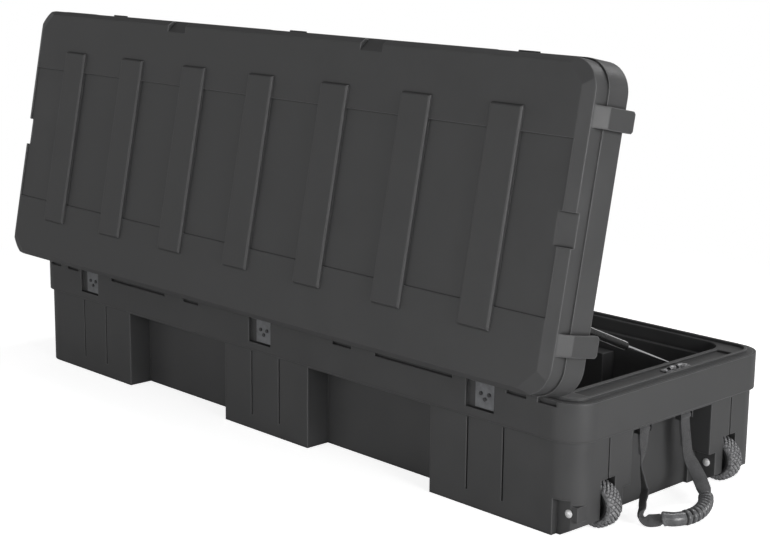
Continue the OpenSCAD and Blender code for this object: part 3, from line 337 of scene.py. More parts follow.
# %% Strut paint and painted reflection
gloss_black, painted_reflection_white = (0.008, 0.008, 0.008), (0.75, 0.75, 0.76)
reflection_start, reflection_full = 0.66, 0.84
strut_paint_and_reflection = surface("strut_paint_and_reflection", gloss_black, (0.014, 0.014, 0.014), (0.22, 0.3), bump=0.02)
gloss_tree = strut_paint_and_reflection.node_tree
reflection_facing = add_node(gloss_tree, "ShaderNodeLayerWeight", Blend=0.5)
reflection_range = add_node(gloss_tree, "ShaderNodeMapRange", From_Min=reflection_start, From_Max=reflection_full)
painted_reflection_mix = add_node(gloss_tree, "ShaderNodeMix", data_type="RGBA",
                     A=(*gloss_black, 1), B=(*painted_reflection_white, 1))
join(gloss_tree, reflection_facing.outputs["Facing"], reflection_range.inputs["Value"])
join(gloss_tree, reflection_range.outputs["Result"], painted_reflection_mix.inputs["Factor"])
gloss_shader = gloss_tree.nodes["Principled BSDF"]
join(gloss_tree, painted_reflection_mix.outputs["Result"], gloss_shader.inputs["Base Color"])
print("paint:", strut_paint_and_reflection.name)

# %% [markdown]
# Grips and tyres are grey rubber, in some places dusty and in others polished. The valleys between
# ribs and tread blocks get a painted shade. They are only two to four millimetres deep, so the
# lamps' shade alone is too weak. Each point of those pieces will carry a number called valley, from
# 0 on top to 1 at the bottom, and the painted shade takes the colour down to a given share.

# %% Rubbers
grip_rubber = surface("grip_rubber", (0.095, 0.096, 0.099), (0.165, 0.166, 0.171), (0.2, 0.34),
                      tone_scale=60.0, round_edge=0.0, crease_shade=0.006)
tyre_rubber = surface("tyre_rubber", (0.10, 0.10, 0.103), (0.34, 0.34, 0.35), (0.16, 0.42),
                      tone_scale=210.0, bump=0.5, round_edge=0.0, crease_shade=0.004)


def shade_valleys(material, share_left):
    tree = material.node_tree
    base_colour = tree.nodes["Principled BSDF"].inputs["Base Color"]
    valley = add_node(tree, "ShaderNodeAttribute", attribute_name="valley")
    shade = add_node(tree, "ShaderNodeMapRange", To_Min=1.0, To_Max=share_left)
    join(tree, valley.outputs["Fac"], shade.inputs["Value"])
    join(tree, darken(tree, base_colour.links[0].from_socket, shade.outputs["Result"]), base_colour)


# Painted shade in the valleys of the grips and the tyres.
shade_valleys(grip_rubber, 0.06)
shade_valleys(tyre_rubber, 0.12)
print("rubbers:", grip_rubber.name, tyre_rubber.name)

# %% [markdown]
# Every solid gets a finish. Each could be given one by hand, but there are many, and their names
# tell what they are. So a short list of name beginnings dresses them all, and the first that fits
# wins.

# %% Dress the solids
finishes = [
    ("tub_", charcoal_plastic), ("lid_shell", lid_plastic), ("lid_pan", charcoal_plastic),
    ("lid_gasket", seal_rubber), ("hinge_tub_screws", dark_steel), ("hinge_lid_screws", dark_steel),
    ("hinge_pin", zinc_steel), ("hinge_", hinge_paint), ("latch_screws", zinc_steel),
    ("latch_pin", zinc_steel), ("latch_", black_trim), ("keeper_screws", zinc_steel),
    ("strut_cylinder", strut_paint_and_reflection), ("strut_rod", strut_chrome), ("strut_", zinc_steel),
    ("wheel_tyre", tyre_rubber), ("wheel_hub", black_trim), ("wheel_bush", bush_brass),
    ("axle_bolt", bolt_zinc), ("axle_", zinc_steel), ("handle_strap", black_trim),
    ("handle_grip", grip_rubber), ("handle_anchors", dark_steel), ("anchor_screws", zinc_steel),
    ("opener_plate", cast_alloy), ("opener_screws", zinc_steel), ("drain_", black_trim),
]


def dress(piece, material):
    piece.data.materials.clear()
    piece.data.materials.append(material)


for name, piece in solids.items():
    for beginning, material in finishes:
        if name.startswith(beginning):
            dress(piece, material)
            break
    else:
        print("no finish for", name)
print("dressed", len(solids))

# %% [markdown]
# Webbing is woven in a plain weave. Real threads could be modelled one over the other, but there
# are thousands. A brick pattern laid by the webbing's own length and width gives the ribs of the
# yarn, each course shifted by half, and fine noise makes the yarn look spun.

# %% Group: woven yarn
yarn_gap, fuzz_scale, fuzz_share = 0.00018, 900.0, 0.35
woven, woven_in, woven_out = start_group(
    "woven_yarn", [("Yarn Width", FLOAT, 0.0016), ("Pick Length", FLOAT, 0.0011)],
    [("Height", FLOAT), ("Shade", FLOAT)])
woven_place = add_node(woven, "ShaderNodeUVMap", uv_map="surface_place")
woven_brick = add_node(woven, "ShaderNodeTexBrick", offset=0.5, Scale=1.0,
                       Mortar_Size=yarn_gap, Mortar_Smooth=1.0)
woven_fuzz = add_node(woven, "ShaderNodeTexNoise", Scale=fuzz_scale, Detail=3.0)
woven_mask = add_node(woven, "ShaderNodeMath", operation="SUBTRACT")
woven_mask.inputs[0].default_value = 1.0
woven_sum = add_node(woven, "ShaderNodeMath", operation="MULTIPLY_ADD")
woven_sum.inputs[1].default_value = fuzz_share
join(woven, woven_place.outputs["UV"], woven_brick.inputs["Vector"])
join(woven, woven_place.outputs["UV"], woven_fuzz.inputs["Vector"])
join(woven, woven_in.outputs["Yarn Width"], woven_brick.inputs["Brick Width"])
join(woven, woven_in.outputs["Pick Length"], woven_brick.inputs["Row Height"])
join(woven, woven_brick.outputs["Fac"], woven_mask.inputs[1])
join(woven, woven_fuzz.outputs["Fac"], woven_sum.inputs[0])
join(woven, woven_mask.outputs["Value"], woven_sum.inputs[2])
join(woven, woven_sum.outputs["Value"], woven_out.inputs["Height"])
join(woven, woven_mask.outputs["Value"], woven_out.inputs["Shade"])
print("group:", woven.name)

# %% [markdown]
# The webbing's finish takes its bump and the dark gaps between the yarns from that group. It could
# shine like the plastic, but nylon webbing is soft and dusty, so it is rough with a little sheen.

# %% Webbing
webbing, web_tree, web_shader = start_material(
    "webbing", Specular_IOR_Level=0.3, Sheen_Weight=0.15)
web_tone = place_group(web_tree, uneven_tone, Scale=70.0, Rough_Low=0.62, Rough_High=0.8,
                       Colour_A=(0.066, 0.066, 0.068, 1), Colour_B=(0.104, 0.104, 0.107, 1))
web_yarn = place_group(web_tree, woven)
web_bump = add_node(web_tree, "ShaderNodeBump", Strength=0.6, Distance=0.0004)
web_shade = add_node(web_tree, "ShaderNodeMapRange", To_Min=0.45)
join(web_tree, web_yarn.outputs["Height"], web_bump.inputs["Height"])
join(web_tree, web_yarn.outputs["Shade"], web_shade.inputs["Value"])
web_colour = darken(web_tree, web_tone.outputs["Colour"], web_shade.outputs["Result"])
join(web_tree, web_colour, web_shader.inputs["Base Color"])
join(web_tree, web_tone.outputs["Roughness"], web_shader.inputs["Roughness"])
join(web_tree, web_bump.outputs["Normal"], web_shader.inputs["Normal"])
print("material:", webbing.name)

# %% [markdown]
# A strap handle hangs at each end. Its webbing leaves one anchor bar, falls, twists and folds
# towards the floor, runs through a rubber grip and climbs back to the other bar. A simulated strap
# would fall its own way. So the route is the one of the solid model, as points from the middle of
# the anchor line in millimetres, with the way the webbing's width points at each. A smooth curve
# through them gives a centre line, because webbing bends gently.

# %% The handle's route
handle_middle = Vector((0.738, -0.005, 0.143))
strap_route = np.array([
    [0, -57, -6], [3, -61, -30], [8, -70, -55], [14, -71, -77], [18, -70, -98], [29, -89, -116],
    [41, -106, -128], [51, -105, -133], [62, -96, -132.5], [74, -88, -128.5], [85, -79, -128.5],
    [93, -61, -128.5], [95, -37, -128.5], [90, -11, -128.5], [78, 18, -128.5], [63, 41, -126.5],
    [48, 55, -118], [34, 62, -105], [20, 65, -90], [8, 61, -67], [3, 59, -35], [0, 57, -6]]) / 1000
strap_across = np.array([
    [0, 1, 0], [-0.2, 0.98, 0], [-0.6, 0.8, 0], [-0.8, 0.6, 0], [-0.85, 0.5, 0], [-0.75, 0.65, 0],
    [-0.7, 0.65, 0.2], [-0.62, 0.57, 0.5], [-0.62, 0.57, 0.5], [-0.65, 0.6, 0.3], [-0.8, 0.5, 0],
    [-1, 0.2, 0], [-1, 0, 0], [-1, -0.2, 0], [-0.9, -0.4, 0], [-0.8, -0.6, 0],
    [-0.7, -0.7, 0], [-0.7, -0.7, 0], [-0.5, -0.85, 0], [-0.1, -1, 0], [0, -1, 0], [0, -1, 0]])
last_place = len(strap_route) - 1
print("route points:", len(strap_route))

# %% [markdown]
# A place on the route is a number: 2.5 is half way from point 2 to point 3. Straight lines between
# the points would leave kinks, so a cubic curve passes through them all. At each place it also
# gives three directions: ahead, across the webbing and out of its face.

# %% Walk along the route
look_aside = 0.05


def along(path, place):
    i = int(min(math.floor(place), len(path) - 2))
    u = place - i
    a, b, c, d = path[max(i - 1, 0)], path[i], path[i + 1], path[min(i + 2, len(path) - 1)]
    linear, square, cube = c - a, 2 * a - 5 * b + 4 * c - d, 3 * b - a - 3 * c + d
    return 0.5 * (2 * b + linear * u + square * u * u + cube * u**3)


def unit(v):
    return v / np.linalg.norm(v)


def route_frame(place):
    after = along(strap_route, min(place + look_aside, last_place))
    before = along(strap_route, max(place - look_aside, 0))
    ahead = unit(after - before)
    across = along(strap_across, place)
    across = unit(across - across.dot(ahead) * ahead)
    return along(strap_route, place), ahead, across, np.cross(ahead, across)


print("route starts at", along(strap_route, 0))

# %% [markdown]
# A tape or a tube is a row of section rings joined by faces. Blender can sweep a curve's section,
# but then the twist of a flat tape is hard to steer. This helper takes the rings as they are and
# closes both ends. It gives every corner a place in metres across and along, for the weave.


# %% Join rings into a skin
def skin_rings(name, rings, across, lengths, close_ends=True):
    count = len(rings[0])
    mesh = bpy.data.meshes.new(name)
    points = [tuple(p) for ring in rings for p in ring]
    faces = []
    for k in range(len(rings) - 1):
        this, following = k * count, (k + 1) * count
        for j in range(count):
            n = (j + 1) % count
            faces.append((this + j, this + n, following + n, following + j))
    if close_ends:
        faces.append(tuple(range(count))[::-1])
        faces.append(tuple((len(rings) - 1) * count + j for j in range(count)))
    mesh.from_pydata(points, [], faces)
    layer = mesh.uv_layers.new(name="surface_place")
    for polygon in mesh.polygons:
        for loop in polygon.loop_indices:
            vertex = mesh.loops[loop].vertex_index
            layer.data[loop].uv = (across[vertex % count], lengths[vertex // count])
        polygon.use_smooth = True
    mesh.update()
    return add_object(name, mesh)


print("skin helper ready")

# %% [markdown]
# A skin needs a few more steps. Its rings may wind either way, so its faces are turned outwards. A
# closed turn is welded where it meets itself, and small skins are merged into one piece. The menus
# of edit mode could do all this, but they need a window and a selection. bmesh needs neither.


# %% Helpers for skins
def tube_ring(centre, radius, wide, out, sides):
    return [centre + radius * (math.cos(a) * wide + math.sin(a) * out)
            for a in np.linspace(0, 2 * math.pi, sides, endpoint=False)]


def turn_faces_out(piece):
    form = bmesh.new()
    form.from_mesh(piece.data)
    bmesh.ops.recalc_face_normals(form, faces=form.faces)
    form.to_mesh(piece.data)
    form.free()


def weld(piece, reach):
    form = bmesh.new()
    form.from_mesh(piece.data)
    bmesh.ops.remove_doubles(form, verts=form.verts, dist=reach)
    form.to_mesh(piece.data)
    form.free()


def merge(name, parts):
    form = bmesh.new()
    for part in parts:
        form.from_mesh(part.data)
        bpy.data.objects.remove(part)
    mesh = bpy.data.meshes.new(name)
    form.to_mesh(mesh)
    form.free()
    return add_object(name, mesh)


print("ring helpers ready")

# %% [markdown]
# Each leg of the webbing wraps its anchor bar. The loop could be a separate piece, but real webbing
# is one tape. So the loop is a run of steps like the rest: each step has a centre, the direction of
# the webbing's width and its place on the route.

# %% Loop round a bar
bar_aside, loop_radius = 0.057, 0.00435
loop_start, loop_sweep, loop_steps = -28, 304, 19


def loop_round_bar(end, first):
    middle = np.array([0.0, end * bar_aside, 0.0])
    wide = np.array([0.0, 1.0 if first else -1.0, 0.0])
    steps = []
    for k in range(loop_steps):
        turn = math.radians(loop_start - loop_sweep / (loop_steps - 1) * k)
        spoke = np.array([math.sin(turn), 0, -math.cos(turn)])
        steps.append((middle + loop_radius * spoke, wide, 0.0))
    return steps


print("loop round a bar, degrees:", loop_sweep)

# %% [markdown]
# Below the bar the tail is sewn to the leg, face to face. Both could lie on the route and cross each
# other, but real layers lie side by side. So the tape starts with a short tail on the inner side,
# goes round the bar, and comes down on the outer side. Past the tail's end it eases back to the
# route, and the same happens backwards at the other bar.

# %% Course of the tape
layer_gap, leg_start, tail_reach, layers_part = 0.00135, 0.12, 1.5, 0.8
tail_steps, leg_steps = 10, 260


def clamp(share):
    return min(1.0, max(0.0, share))


def leg(places, layer):
    steps = []
    for place in places:
        centre, ahead, wide, out = route_frame(place)
        steps.append((centre + layer(place) * out, wide, place))
    return steps


def inner_layer(place):
    return -layer_gap


def outer_layer(place):
    nearest = min(place, last_place - place)
    return layer_gap * (1 - clamp((nearest - tail_reach) / layers_part))


tape = leg(np.linspace(tail_reach, leg_start, tail_steps), inner_layer)
tape += loop_round_bar(-1, True)
tape += leg(np.linspace(leg_start, last_place - leg_start, leg_steps), outer_layer)
tape += loop_round_bar(1, False)[::-1]
tape += leg(np.linspace(last_place - leg_start, last_place - tail_reach, tail_steps), inner_layer)
print("steps of the tape:", len(tape))

# %% [markdown]
# The tape's section is a flat bar with thin edges. Inside the grip the webbing is folded, to two
# thirds of its width and twice its thickness. It could be folded layer by layer, but the grip hides
# that. So both forms have the same eight points, and one turns into the other by a share.

# %% Sections of the tape
strap_width, strap_thick = 0.025, 0.0026
fold_half_width, fold_half_thick = 0.0085, 0.0026
grip_start, grip_end = 8.7, 15.2
fold_before, fold_over, unfold_after, unfold_over = 0.25, 0.35, 0.75, 0.8
thin_edge, edge_place = 0.55, 0.94
section_sides = (-1, -edge_place, edge_place, 1)
tape_section = [(side, -1) for side in section_sides]
tape_section += [(side, 1) for side in section_sides[::-1]]


def fold_share(place):
    into = clamp((place - grip_start + fold_before) / fold_over)
    out_of = clamp((grip_end + unfold_after - place) / unfold_over)
    return min(into, out_of)


tape_rings, tape_lengths, run = [], [], 0.0
for k, (centre, wide, place) in enumerate(tape):
    before, after = tape[max(k - 1, 0)][0], tape[min(k + 1, len(tape) - 1)][0]
    ahead = unit(after - before)
    wide = unit(wide - wide.dot(ahead) * ahead)
    out = np.cross(ahead, wide)
    share = fold_share(place)
    half_width = (strap_width / 2) * (1 - share) + fold_half_width * share
    half_thick = (strap_thick / 2) * (1 - share) + fold_half_thick * share
    ring = []
    for side, tip in tape_section:
        bulge = thin_edge if abs(side) == 1 else 1.0
        ring.append(centre + side * half_width * wide + tip * bulge * half_thick * out)
    run += 0 if k == 0 else float(np.linalg.norm(centre - tape[k - 1][0]))
    tape_rings.append(ring)
    tape_lengths.append(run)
print("webbing length, mm:", round(run * 1000))

# %% [markdown]
# The right handle is the one in the photograph, and the other end has its mirror image. That could
# be a linked copy, but a mirrored copy would turn its faces inwards, and each handle swings on a
# body of its own. So the rings are moved to each end and skinned twice.

# %% Lay the webbing
box_ends = (("right", 1), ("left", -1))
tape_across = [side * strap_width / 2 for side, tip in tape_section]


def at_end(rings, side):
    middle_x, middle_y, middle_z = handle_middle
    return [[((middle_x + p[0]) * side, middle_y + p[1], middle_z + p[2]) for p in ring]
            for ring in rings]


for word, side in box_ends:
    strap = skin_rings("webbing_" + word, at_end(tape_rings, side), tape_across, tape_lengths)
    turn_faces_out(strap)
    dress(strap, webbing)
    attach(strap, "handle_" + word)
    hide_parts("handle_strap_" + word)
print("webbing laid at", len(box_ends), "ends")

# %% [markdown]
# The grip is a rubber moulding on the folded webbing. It starts as a smooth glossy sleeve with a
# small lip, and ten rounded ribs follow, with narrow valleys between them. Rings could be stacked
# one by one, but a radius that changes along the run gives one closed skin that bends cleanly.

# %% Profile of the grip
sleeve_share, rib_count, valley_width = 0.24, 10, 0.21
valleys_start = sleeve_share - 0.01
sleeve_radius, rib_radius, valley_cut = 0.0117, 0.0131, 0.0037
lip_place, lip_width, lip_rise = 0.02, 0.012, 0.0006
end_rounding, end_reach = 0.0025, 0.002


def valley_depth(share):
    if share <= valleys_start:
        return 0.0
    rib_place = rib_count * (share - sleeve_share) / (1 - sleeve_share)
    return math.exp(-((abs(rib_place - round(rib_place)) / valley_width) ** 2))


def grip_radius(share, length):
    edge = min(share, 1 - share) * length
    if share < sleeve_share:
        radius = sleeve_radius + lip_rise * math.exp(-((share - lip_place) / lip_width) ** 2)
    else:
        radius = rib_radius - valley_cut * valley_depth(share)
    return radius - end_rounding * max(0.0, 1 - edge / end_reach) ** 2


print("ribs on a grip:", rib_count)

# %% [markdown]
# The route's points aren't evenly spaced, so equal steps along it would make some ribs wider than
# others. The real length is summed up in small steps first, and each ring is then placed by length.

# %% Mould the grips
grip_sides, grip_ring_count, grip_round, measuring_steps = 36, 420, 0.06, 600
grip_places = np.linspace(grip_start, grip_end, measuring_steps)
grip_points = [along(strap_route, place) for place in grip_places]
grip_steps = [np.linalg.norm(b - a) for a, b in zip(grip_points, grip_points[1:])]
grip_run = np.concatenate([[0], np.cumsum(grip_steps)])
grip_length = grip_run[-1]
grip_rings, grip_lengths, grip_valleys = [], [], []
for share in np.linspace(0, 1, grip_ring_count):
    place = float(np.interp(share * grip_length, grip_run, grip_places))
    centre, ahead, wide, out = route_frame(place)
    grip_rings.append(tube_ring(centre, grip_radius(share, grip_length), wide, out, grip_sides))
    grip_lengths.append(share * grip_length)
    grip_valleys.append(valley_depth(share))
grip_across = list(np.linspace(0, grip_round, grip_sides))


def mark_valleys(piece, depths):
    layer = piece.data.attributes.new("valley", "FLOAT", "POINT")
    layer.data.foreach_set("value", depths)


for word, side in box_ends:
    grip = skin_rings("ribbed_grip_" + word, at_end(grip_rings, side), grip_across, grip_lengths)
    mark_valleys(grip, list(np.repeat(grip_valleys, grip_sides)))
    turn_faces_out(grip)
    dress(grip, grip_rubber)
    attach(grip, "handle_" + word)
    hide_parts("handle_grip_" + word)
print("grip length, mm:", round(grip_length * 1000))

# %% [markdown]
# Each folded end is held by a sewn box: two rows of stitches across the webbing and two along it.
# Stitches could be drawn as lines in the material, but a close look shows each as a short thread
# that dives into the webbing at both ends. So each is a small tube that rises in its middle.

# %% One stitch
thread_radius, thread_rise, thread_sink, thread_sides = 0.00038, 0.00042, 0.0001, 7
stitch_shares = (0, 0.12, 0.35, 0.65, 0.88, 1)
thread = surface("sewing_thread", (0.05, 0.05, 0.052), (0.075, 0.075, 0.078), (0.5, 0.65),
                 round_edge=0.0)


def stitch_rings(start, stop, out):
    ahead = unit(stop - start)
    wide = np.cross(out, ahead)
    length = float(np.linalg.norm(stop - start))
    rings = []
    for share in stitch_shares:
        rise = thread_rise * math.sin(math.pi * share) ** 0.5 - thread_sink
        centre = start + share * length * ahead + rise * out
        rings.append(tube_ring(centre, thread_radius, wide, out, thread_sides))
    return rings


print("thread, mm:", 2 * thread_radius * 1000)

# %% [markdown]
# A row of stitches is six short spans with a small gap between them. A straight row would be
# simpler, but the webbing bends. So every span starts and stops at a place on the route, with its
# own direction out of the face.

# %% Rows of stitches
seam_near, seam_far, seam_aside = 0.75, 1.3, 0.0095
row_stitches, stitch_height, stitch_gap = 6, 0.00262, 0.12


def on_face(place, across):
    centre, ahead, wide, out = route_frame(place)
    return centre + across * wide + stitch_height * out, out


def seam(places, offsets):
    spans = []
    for (place_a, place_b), (across_a, across_b) in zip(places, offsets):
        start, out = on_face(place_a, across_a)
        stop = on_face(place_b, across_b)[0]
        gap = stitch_gap * (stop - start)
        spans.append((start + gap, stop - gap, out))
    return spans


def steps_between(first, last):
    marks = np.linspace(first, last, row_stitches + 1)
    return list(zip(marks, marks[1:]))


stitches = []
for near, far in ((seam_near, seam_far), (last_place - seam_near, last_place - seam_far)):
    for place in (near, far):
        stitches += seam([(place, place)] * row_stitches, steps_between(-seam_aside, seam_aside))
    for across in (-seam_aside, seam_aside):
        stitches += seam(steps_between(near, far), [(across, across)] * row_stitches)
print("stitches at each end:", len(stitches))

# %% [markdown]
# The stitches of one handle could stay separate objects, but they never move apart. So they are
# merged into one piece that rides with the webbing.

# %% Sew the ends
no_weave = ([0.0] * thread_sides, [0.0] * len(stitch_shares))
for word, side in box_ends:
    threads = [skin_rings("stitch", at_end(stitch_rings(*span), side), *no_weave)
               for span in stitches]
    sewn = merge("stitches_" + word, threads)
    turn_faces_out(sewn)
    dress(sewn, thread)
    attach(sewn, "handle_" + word)
    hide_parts("handle_strap_" + word)
    print(sewn.name, "has", len(sewn.data.polygons), "faces")

# %% [markdown]
# The tyres are wide and round-shouldered, with a fine tread of staggered diamonds. Each diamond
# could be a block of its own, but they are many and small. So the tyre is one skin, turned from a
# profile, and a groove lowers it along the diamonds' edges and fades out on the shoulders.

# %% Profile and tread of a tyre
tyre_radius, bead_radius, wall_radius = 0.04, 0.0272, 0.030
tyre_half, shoulder, shoulder_steps, crown_steps = 0.0149, 0.0075, 8, 20
tread_round, tread_step, tread_cut, groove_width = 26, 0.0092, 0.0023, 0.2
tread_edge, tread_fade = 0.0345, 0.003

tyre_shoulder = []
for k in range(shoulder_steps + 1):
    turn = math.pi / 2 * k / shoulder_steps
    tyre_shoulder.append((-tyre_half + shoulder * (1 - math.cos(turn)),
                          tyre_radius - shoulder + shoulder * math.sin(turn)))
crown_half = tyre_half - shoulder
crown = [(y, tyre_radius) for y in np.linspace(-crown_half, crown_half, crown_steps + 1)[1:-1]]
tyre_side = [(-tyre_half, bead_radius), (-tyre_half, wall_radius)] + tyre_shoulder
tyre_profile = tyre_side + crown + [(-y, radius) for y, radius in tyre_side[::-1]]


def groove(turn, y, radius):
    a = turn / (2 * math.pi) * tread_round
    b = y / tread_step
    diamond = abs(a % 1 - 0.5) + abs(b % 1 - 0.5)
    edge = min(1.0, abs(diamond - 0.5) / groove_width)
    fade = clamp((radius - tread_edge) / tread_fade)
    return (1 - edge * edge * (3 - 2 * edge)) * fade


print("points of the profile:", len(tyre_profile))

# %% [markdown]
# The profile is turned round the axle in small steps. Blender's Screw modifier could turn it, but
# here the radius changes with the turn. The last ring falls on the first, so the two are welded and
# the tread runs on without a seam. The skin stays a hair below the solid tyre, so that the wheel
# still clears what it cleared before.

# %% Cut the tyres
wheel_x, wheel_aside, wheel_z, turn_steps = 0.735, 0.170, 0.0403, 312
skin_clearance, weld_reach = 0.00005, 0.00001
tyre_across = [y for y, radius in tyre_profile]
tyre_lengths = list(np.linspace(0, 2 * math.pi * tyre_radius, turn_steps + 1))
for word, wheel_y in (("back", -wheel_aside), ("front", wheel_aside)):
    rings, depths = [], []
    for turn in np.linspace(0, 2 * math.pi, turn_steps + 1):
        ring = []
        for y, top in tyre_profile:
            depth = groove(turn, y, top)
            radius = top - skin_clearance - tread_cut * depth
            ring.append((wheel_x + radius * math.sin(turn), wheel_y + y,
                         wheel_z + radius * math.cos(turn)))
            depths.append(depth)
        rings.append(ring)
    tyre = skin_rings("tread_" + word, rings, tyre_across, tyre_lengths, close_ends=False)
    mark_valleys(tyre, depths)
    weld(tyre, weld_reach)
    turn_faces_out(tyre)
    dress(tyre, tyre_rubber)
    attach(tyre, "wheel_" + word)
    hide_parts("wheel_tyre_" + word)
print("tread diamonds round:", tread_round)

# %% [markdown]
# A small cast bottle hook sits on the end rim: a plate with soft edges and two hollow arches. The
# plate could be a box with a bevel, but its corners are round as seen from above. So it is a stack
# of four rounded outlines, smaller towards the top. Each layer names its inset from the full size,
# the radius of its corners and its height.

# %% Plate of the bottle hook
hook_x, hook_y, hook_z = 0.7155, 0.052, 0.220
plate_half_x, plate_half_y, corner_steps = 0.0099, 0.0339, 6
plate_layers = ((0.0001, 0.005, 0.0001), (0.0, 0.005, 0.0012),
                (0.0004, 0.0047, 0.0019), (0.0013, 0.004, 0.0021))


def plate_ring(inset, corner, height):
    middle_x, middle_y = plate_half_x - inset - corner, plate_half_y - inset - corner
    ring = []
    for side_x, side_y, first in ((1, 1, 0), (-1, 1, 90), (-1, -1, 180), (1, -1, 270)):
        for step in range(corner_steps + 1):
            turn = math.radians(first + 90 / corner_steps * step)
            ring.append((hook_x + side_x * middle_x + corner * math.cos(turn),
                         hook_y + side_y * middle_y + corner * math.sin(turn), hook_z + height))
    return ring


def without_weave(name, rings):
    return skin_rings(name, rings, [0.0] * len(rings[0]), [0.0] * len(rings))


hook_plate = without_weave("hook_plate", [plate_ring(*layer) for layer in plate_layers])
print("layers of the plate:", len(plate_layers))

# %% [markdown]
# An arch is a half ring that swells in its middle and flares at its feet, as a casting does. A bent
# tube would be even all along, so each section is drawn point by point: over the outside from foot
# to foot, and back along the inside.

# %% Arches of the bottle hook
arch_aside, arch_half, arch_height, arch_points, arch_sections = 0.011, 0.0078, 0.0019, 15, 17
arch_radius, arch_fall, arch_ripple, arch_waves = 0.0058, 0.0009, 0.0003, 5
arch_wall, foot_flare = 0.0019, 0.0016


def arch_ring(share, middle_y):
    ripple = arch_ripple * math.cos(arch_waves * share)
    outer = arch_radius - arch_fall * share * share + ripple
    flare = foot_flare * (1 - abs(share)) ** 0.5
    over, back = np.linspace(0, math.pi, arch_points), np.linspace(math.pi, 0, arch_points)
    ring = []
    for radius, turns in ((outer, over), (outer - arch_wall, back)):
        for turn in turns:
            foot = flare * (1 - math.sin(turn)) ** 3
            ring.append((hook_x + math.cos(turn) * (radius + foot), middle_y + arch_half * share,
                         hook_z + arch_height + radius * math.sin(turn)))
    return ring


hook_parts = [hook_plate]
for side in (-1, 1):
    sections = [arch_ring(share, hook_y + side * arch_aside)
                for share in np.linspace(-1, 1, arch_sections)]
    hook_parts.append(without_weave("hook_arch", sections))
bottle_hook = merge("bottle_hook", hook_parts)
turn_faces_out(bottle_hook)
dress(bottle_hook, cast_alloy)
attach(bottle_hook, "tub")
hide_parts("opener_plate")
print("bottle hook of", len(hook_parts), "parts")

# %% [markdown]
# The floor is pale and plain. A white picture behind the box would be simpler, but it can't take a
# shadow. So the floor is one large square, half a millimetre below the feet.

# %% Floor
floor_half, floor_drop = 9, 0.0005
floor_mesh = bpy.data.meshes.new("studio_floor")
floor_sides = ((-1, -1), (1, -1), (1, 1), (-1, 1))
floor_corners = [(x * floor_half, y * floor_half, 0) for x, y in floor_sides]
floor_mesh.from_pydata(floor_corners, [], [(0, 1, 2, 3)])
floor = add_object("studio_floor", floor_mesh)
floor.location.z = -floor_drop
print("floor side, m:", 2 * floor_half)

# %% [markdown]
# Near the box the floor is a real surface, which keeps the soft shadow. Its edge would show as a
# grey line against the background, so further out it fades to white. Stronger lamps could whiten it
# too, but they would light the box. So only the camera sees the added white, which lights nothing.

# %% Floor material
floor_grey, floor_glow, fade_start, fade_end = 0.86, 0.8, 0.8, 1.9
floor_paint, floor_tree, floor_shader = start_material(
    "studio_floor", Base_Color=(floor_grey, floor_grey, floor_grey, 1), Roughness=0.9,
    Specular_IOR_Level=0.1)
floor_place = add_node(floor_tree, "ShaderNodeTexCoord")
floor_reach = add_node(floor_tree, "ShaderNodeVectorMath", operation="LENGTH")
floor_fade = add_node(floor_tree, "ShaderNodeMapRange", interpolation_type="SMOOTHSTEP",
                      From_Min=fade_start, From_Max=fade_end)
floor_white = add_node(floor_tree, "ShaderNodeEmission")
floor_lift = add_node(floor_tree, "ShaderNodeEmission")
floor_mix = add_node(floor_tree, "ShaderNodeMixShader")
floor_sum = add_node(floor_tree, "ShaderNodeAddShader")
floor_path = add_node(floor_tree, "ShaderNodeLightPath")
floor_seen = add_node(floor_tree, "ShaderNodeMath", operation="MULTIPLY")
floor_share = add_node(floor_tree, "ShaderNodeMath", operation="MULTIPLY")
floor_share.inputs[1].default_value = floor_glow
join(floor_tree, floor_place.outputs["Object"], floor_reach.inputs[0])
join(floor_tree, floor_reach.outputs["Value"], floor_fade.inputs["Value"])
join(floor_tree, floor_fade.outputs["Result"], floor_seen.inputs[0])
join(floor_tree, floor_path.outputs["Is Camera Ray"], floor_seen.inputs[1])
join(floor_tree, floor_path.outputs["Is Camera Ray"], floor_share.inputs[0])
join(floor_tree, floor_share.outputs["Value"], floor_lift.inputs["Strength"])
join(floor_tree, floor_shader.outputs["BSDF"], floor_sum.inputs[0])
join(floor_tree, floor_lift.outputs["Emission"], floor_sum.inputs[1])
join(floor_tree, floor_seen.outputs["Value"], floor_mix.inputs["Fac"])
join(floor_tree, floor_sum.outputs["Shader"], floor_mix.inputs[1])
join(floor_tree, floor_white.outputs["Emission"], floor_mix.inputs[2])
floor_output = floor_tree.nodes["Material Output"]
join(floor_tree, floor_mix.outputs["Shader"], floor_output.inputs["Surface"])
floor_mesh.materials.append(floor_paint)
print("floor material:", floor_paint.name)

# %% [markdown]
# The world is the room around the box. One plain brightness would light all faces alike. A dome
# that is brighter at the horizon than overhead lights upright faces more than flat ones, as a
# studio's white walls do. The camera and rays through clear pieces see plain white in its place.

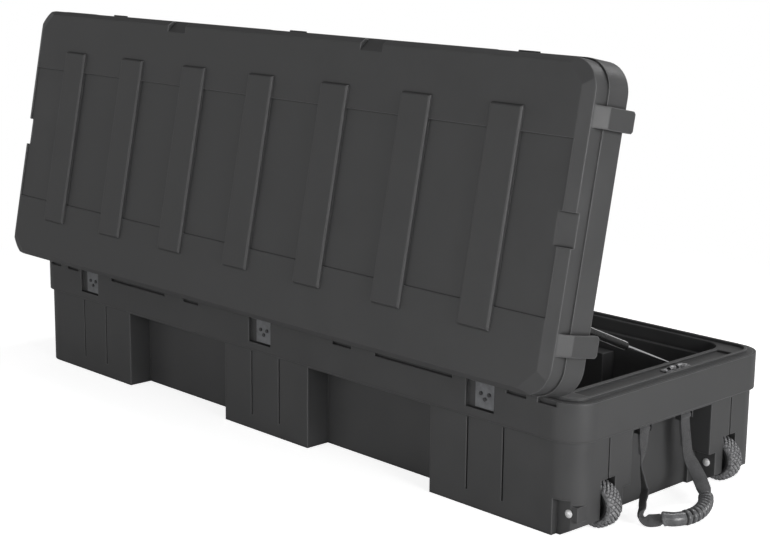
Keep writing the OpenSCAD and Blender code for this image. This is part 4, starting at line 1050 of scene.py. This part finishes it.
# %% World
horizon_light, overhead_light, dome_top = 0.66, 0.12, 0.55
studio = bpy.data.worlds.new("studio")
bpy.context.scene.world = studio
studio.use_nodes = True
sky = studio.node_tree
soft_light = sky.nodes["Background"]
soft_light.inputs["Color"].default_value = (1, 1, 1, 1)
sky_place = add_node(sky, "ShaderNodeTexCoord")
sky_height = add_node(sky, "ShaderNodeSeparateXYZ")
sky_dome = add_node(sky, "ShaderNodeMapRange", From_Max=dome_top,
                    To_Min=horizon_light, To_Max=overhead_light)
plain_white = add_node(sky, "ShaderNodeBackground", Strength=1.0, Color=(1, 1, 1, 1))
sky_path = add_node(sky, "ShaderNodeLightPath")
sky_seen = add_node(sky, "ShaderNodeMath", operation="MAXIMUM")
sky_mix = add_node(sky, "ShaderNodeMixShader")
join(sky, sky_place.outputs["Generated"], sky_height.inputs["Vector"])
join(sky, sky_height.outputs["Z"], sky_dome.inputs["Value"])
join(sky, sky_dome.outputs["Result"], soft_light.inputs["Strength"])
join(sky, sky_path.outputs["Is Camera Ray"], sky_seen.inputs[0])
join(sky, sky_path.outputs["Is Transmission Ray"], sky_seen.inputs[1])
join(sky, sky_seen.outputs["Value"], sky_mix.inputs["Fac"])
join(sky, soft_light.outputs["Background"], sky_mix.inputs[1])
join(sky, plain_white.outputs["Background"], sky_mix.inputs[2])
join(sky, sky_mix.outputs["Shader"], sky.nodes["World Output"].inputs["Surface"])
print("world:", studio.name)

# %% [markdown]
# Two large soft lamps stand in for studio panels. One lamp at the camera would flatten the box. The
# stronger panel is on the wheel end's side, so the end of the box is lighter than its back, and a
# weaker one stands low before the back. A small third lamp shines along the view, so that the
# rounded edges of ribs and posts catch a thin light, and a narrow strip above brings out the rims.


# %% Lamps
def panel(name, place, aim, size, power):
    lamp = bpy.data.lights.new(name, "AREA")
    lamp.shape = "DISK"
    lamp.size = size
    lamp.energy = power
    piece = add_object(name, lamp)
    piece.location = place
    piece.rotation_euler = (Vector(aim) - Vector(place)).to_track_quat("-Z", "Y").to_euler()
    return lamp


panel("right_panel", (4.4, -0.6, 1.0), (0.6, 0, 0.2), 1.8, 88)
panel("back_panel", (0.0, -4.4, 0.25), (-0.1, 0, 0.2), 2.2, 42)
panel("edge_panel", (3.4, -3.3, 1.7), (0.3, -0.2, 0.3), 0.5, 16)
top_strip = panel("top_strip", (0.7, 0.9, 2.3), (0.5, 0, 0.2), 0.16, 22)
strip_length = 2.4
top_strip.shape = "RECTANGLE"
top_strip.size_y = strip_length
print("lamps:", len(bpy.data.lights))
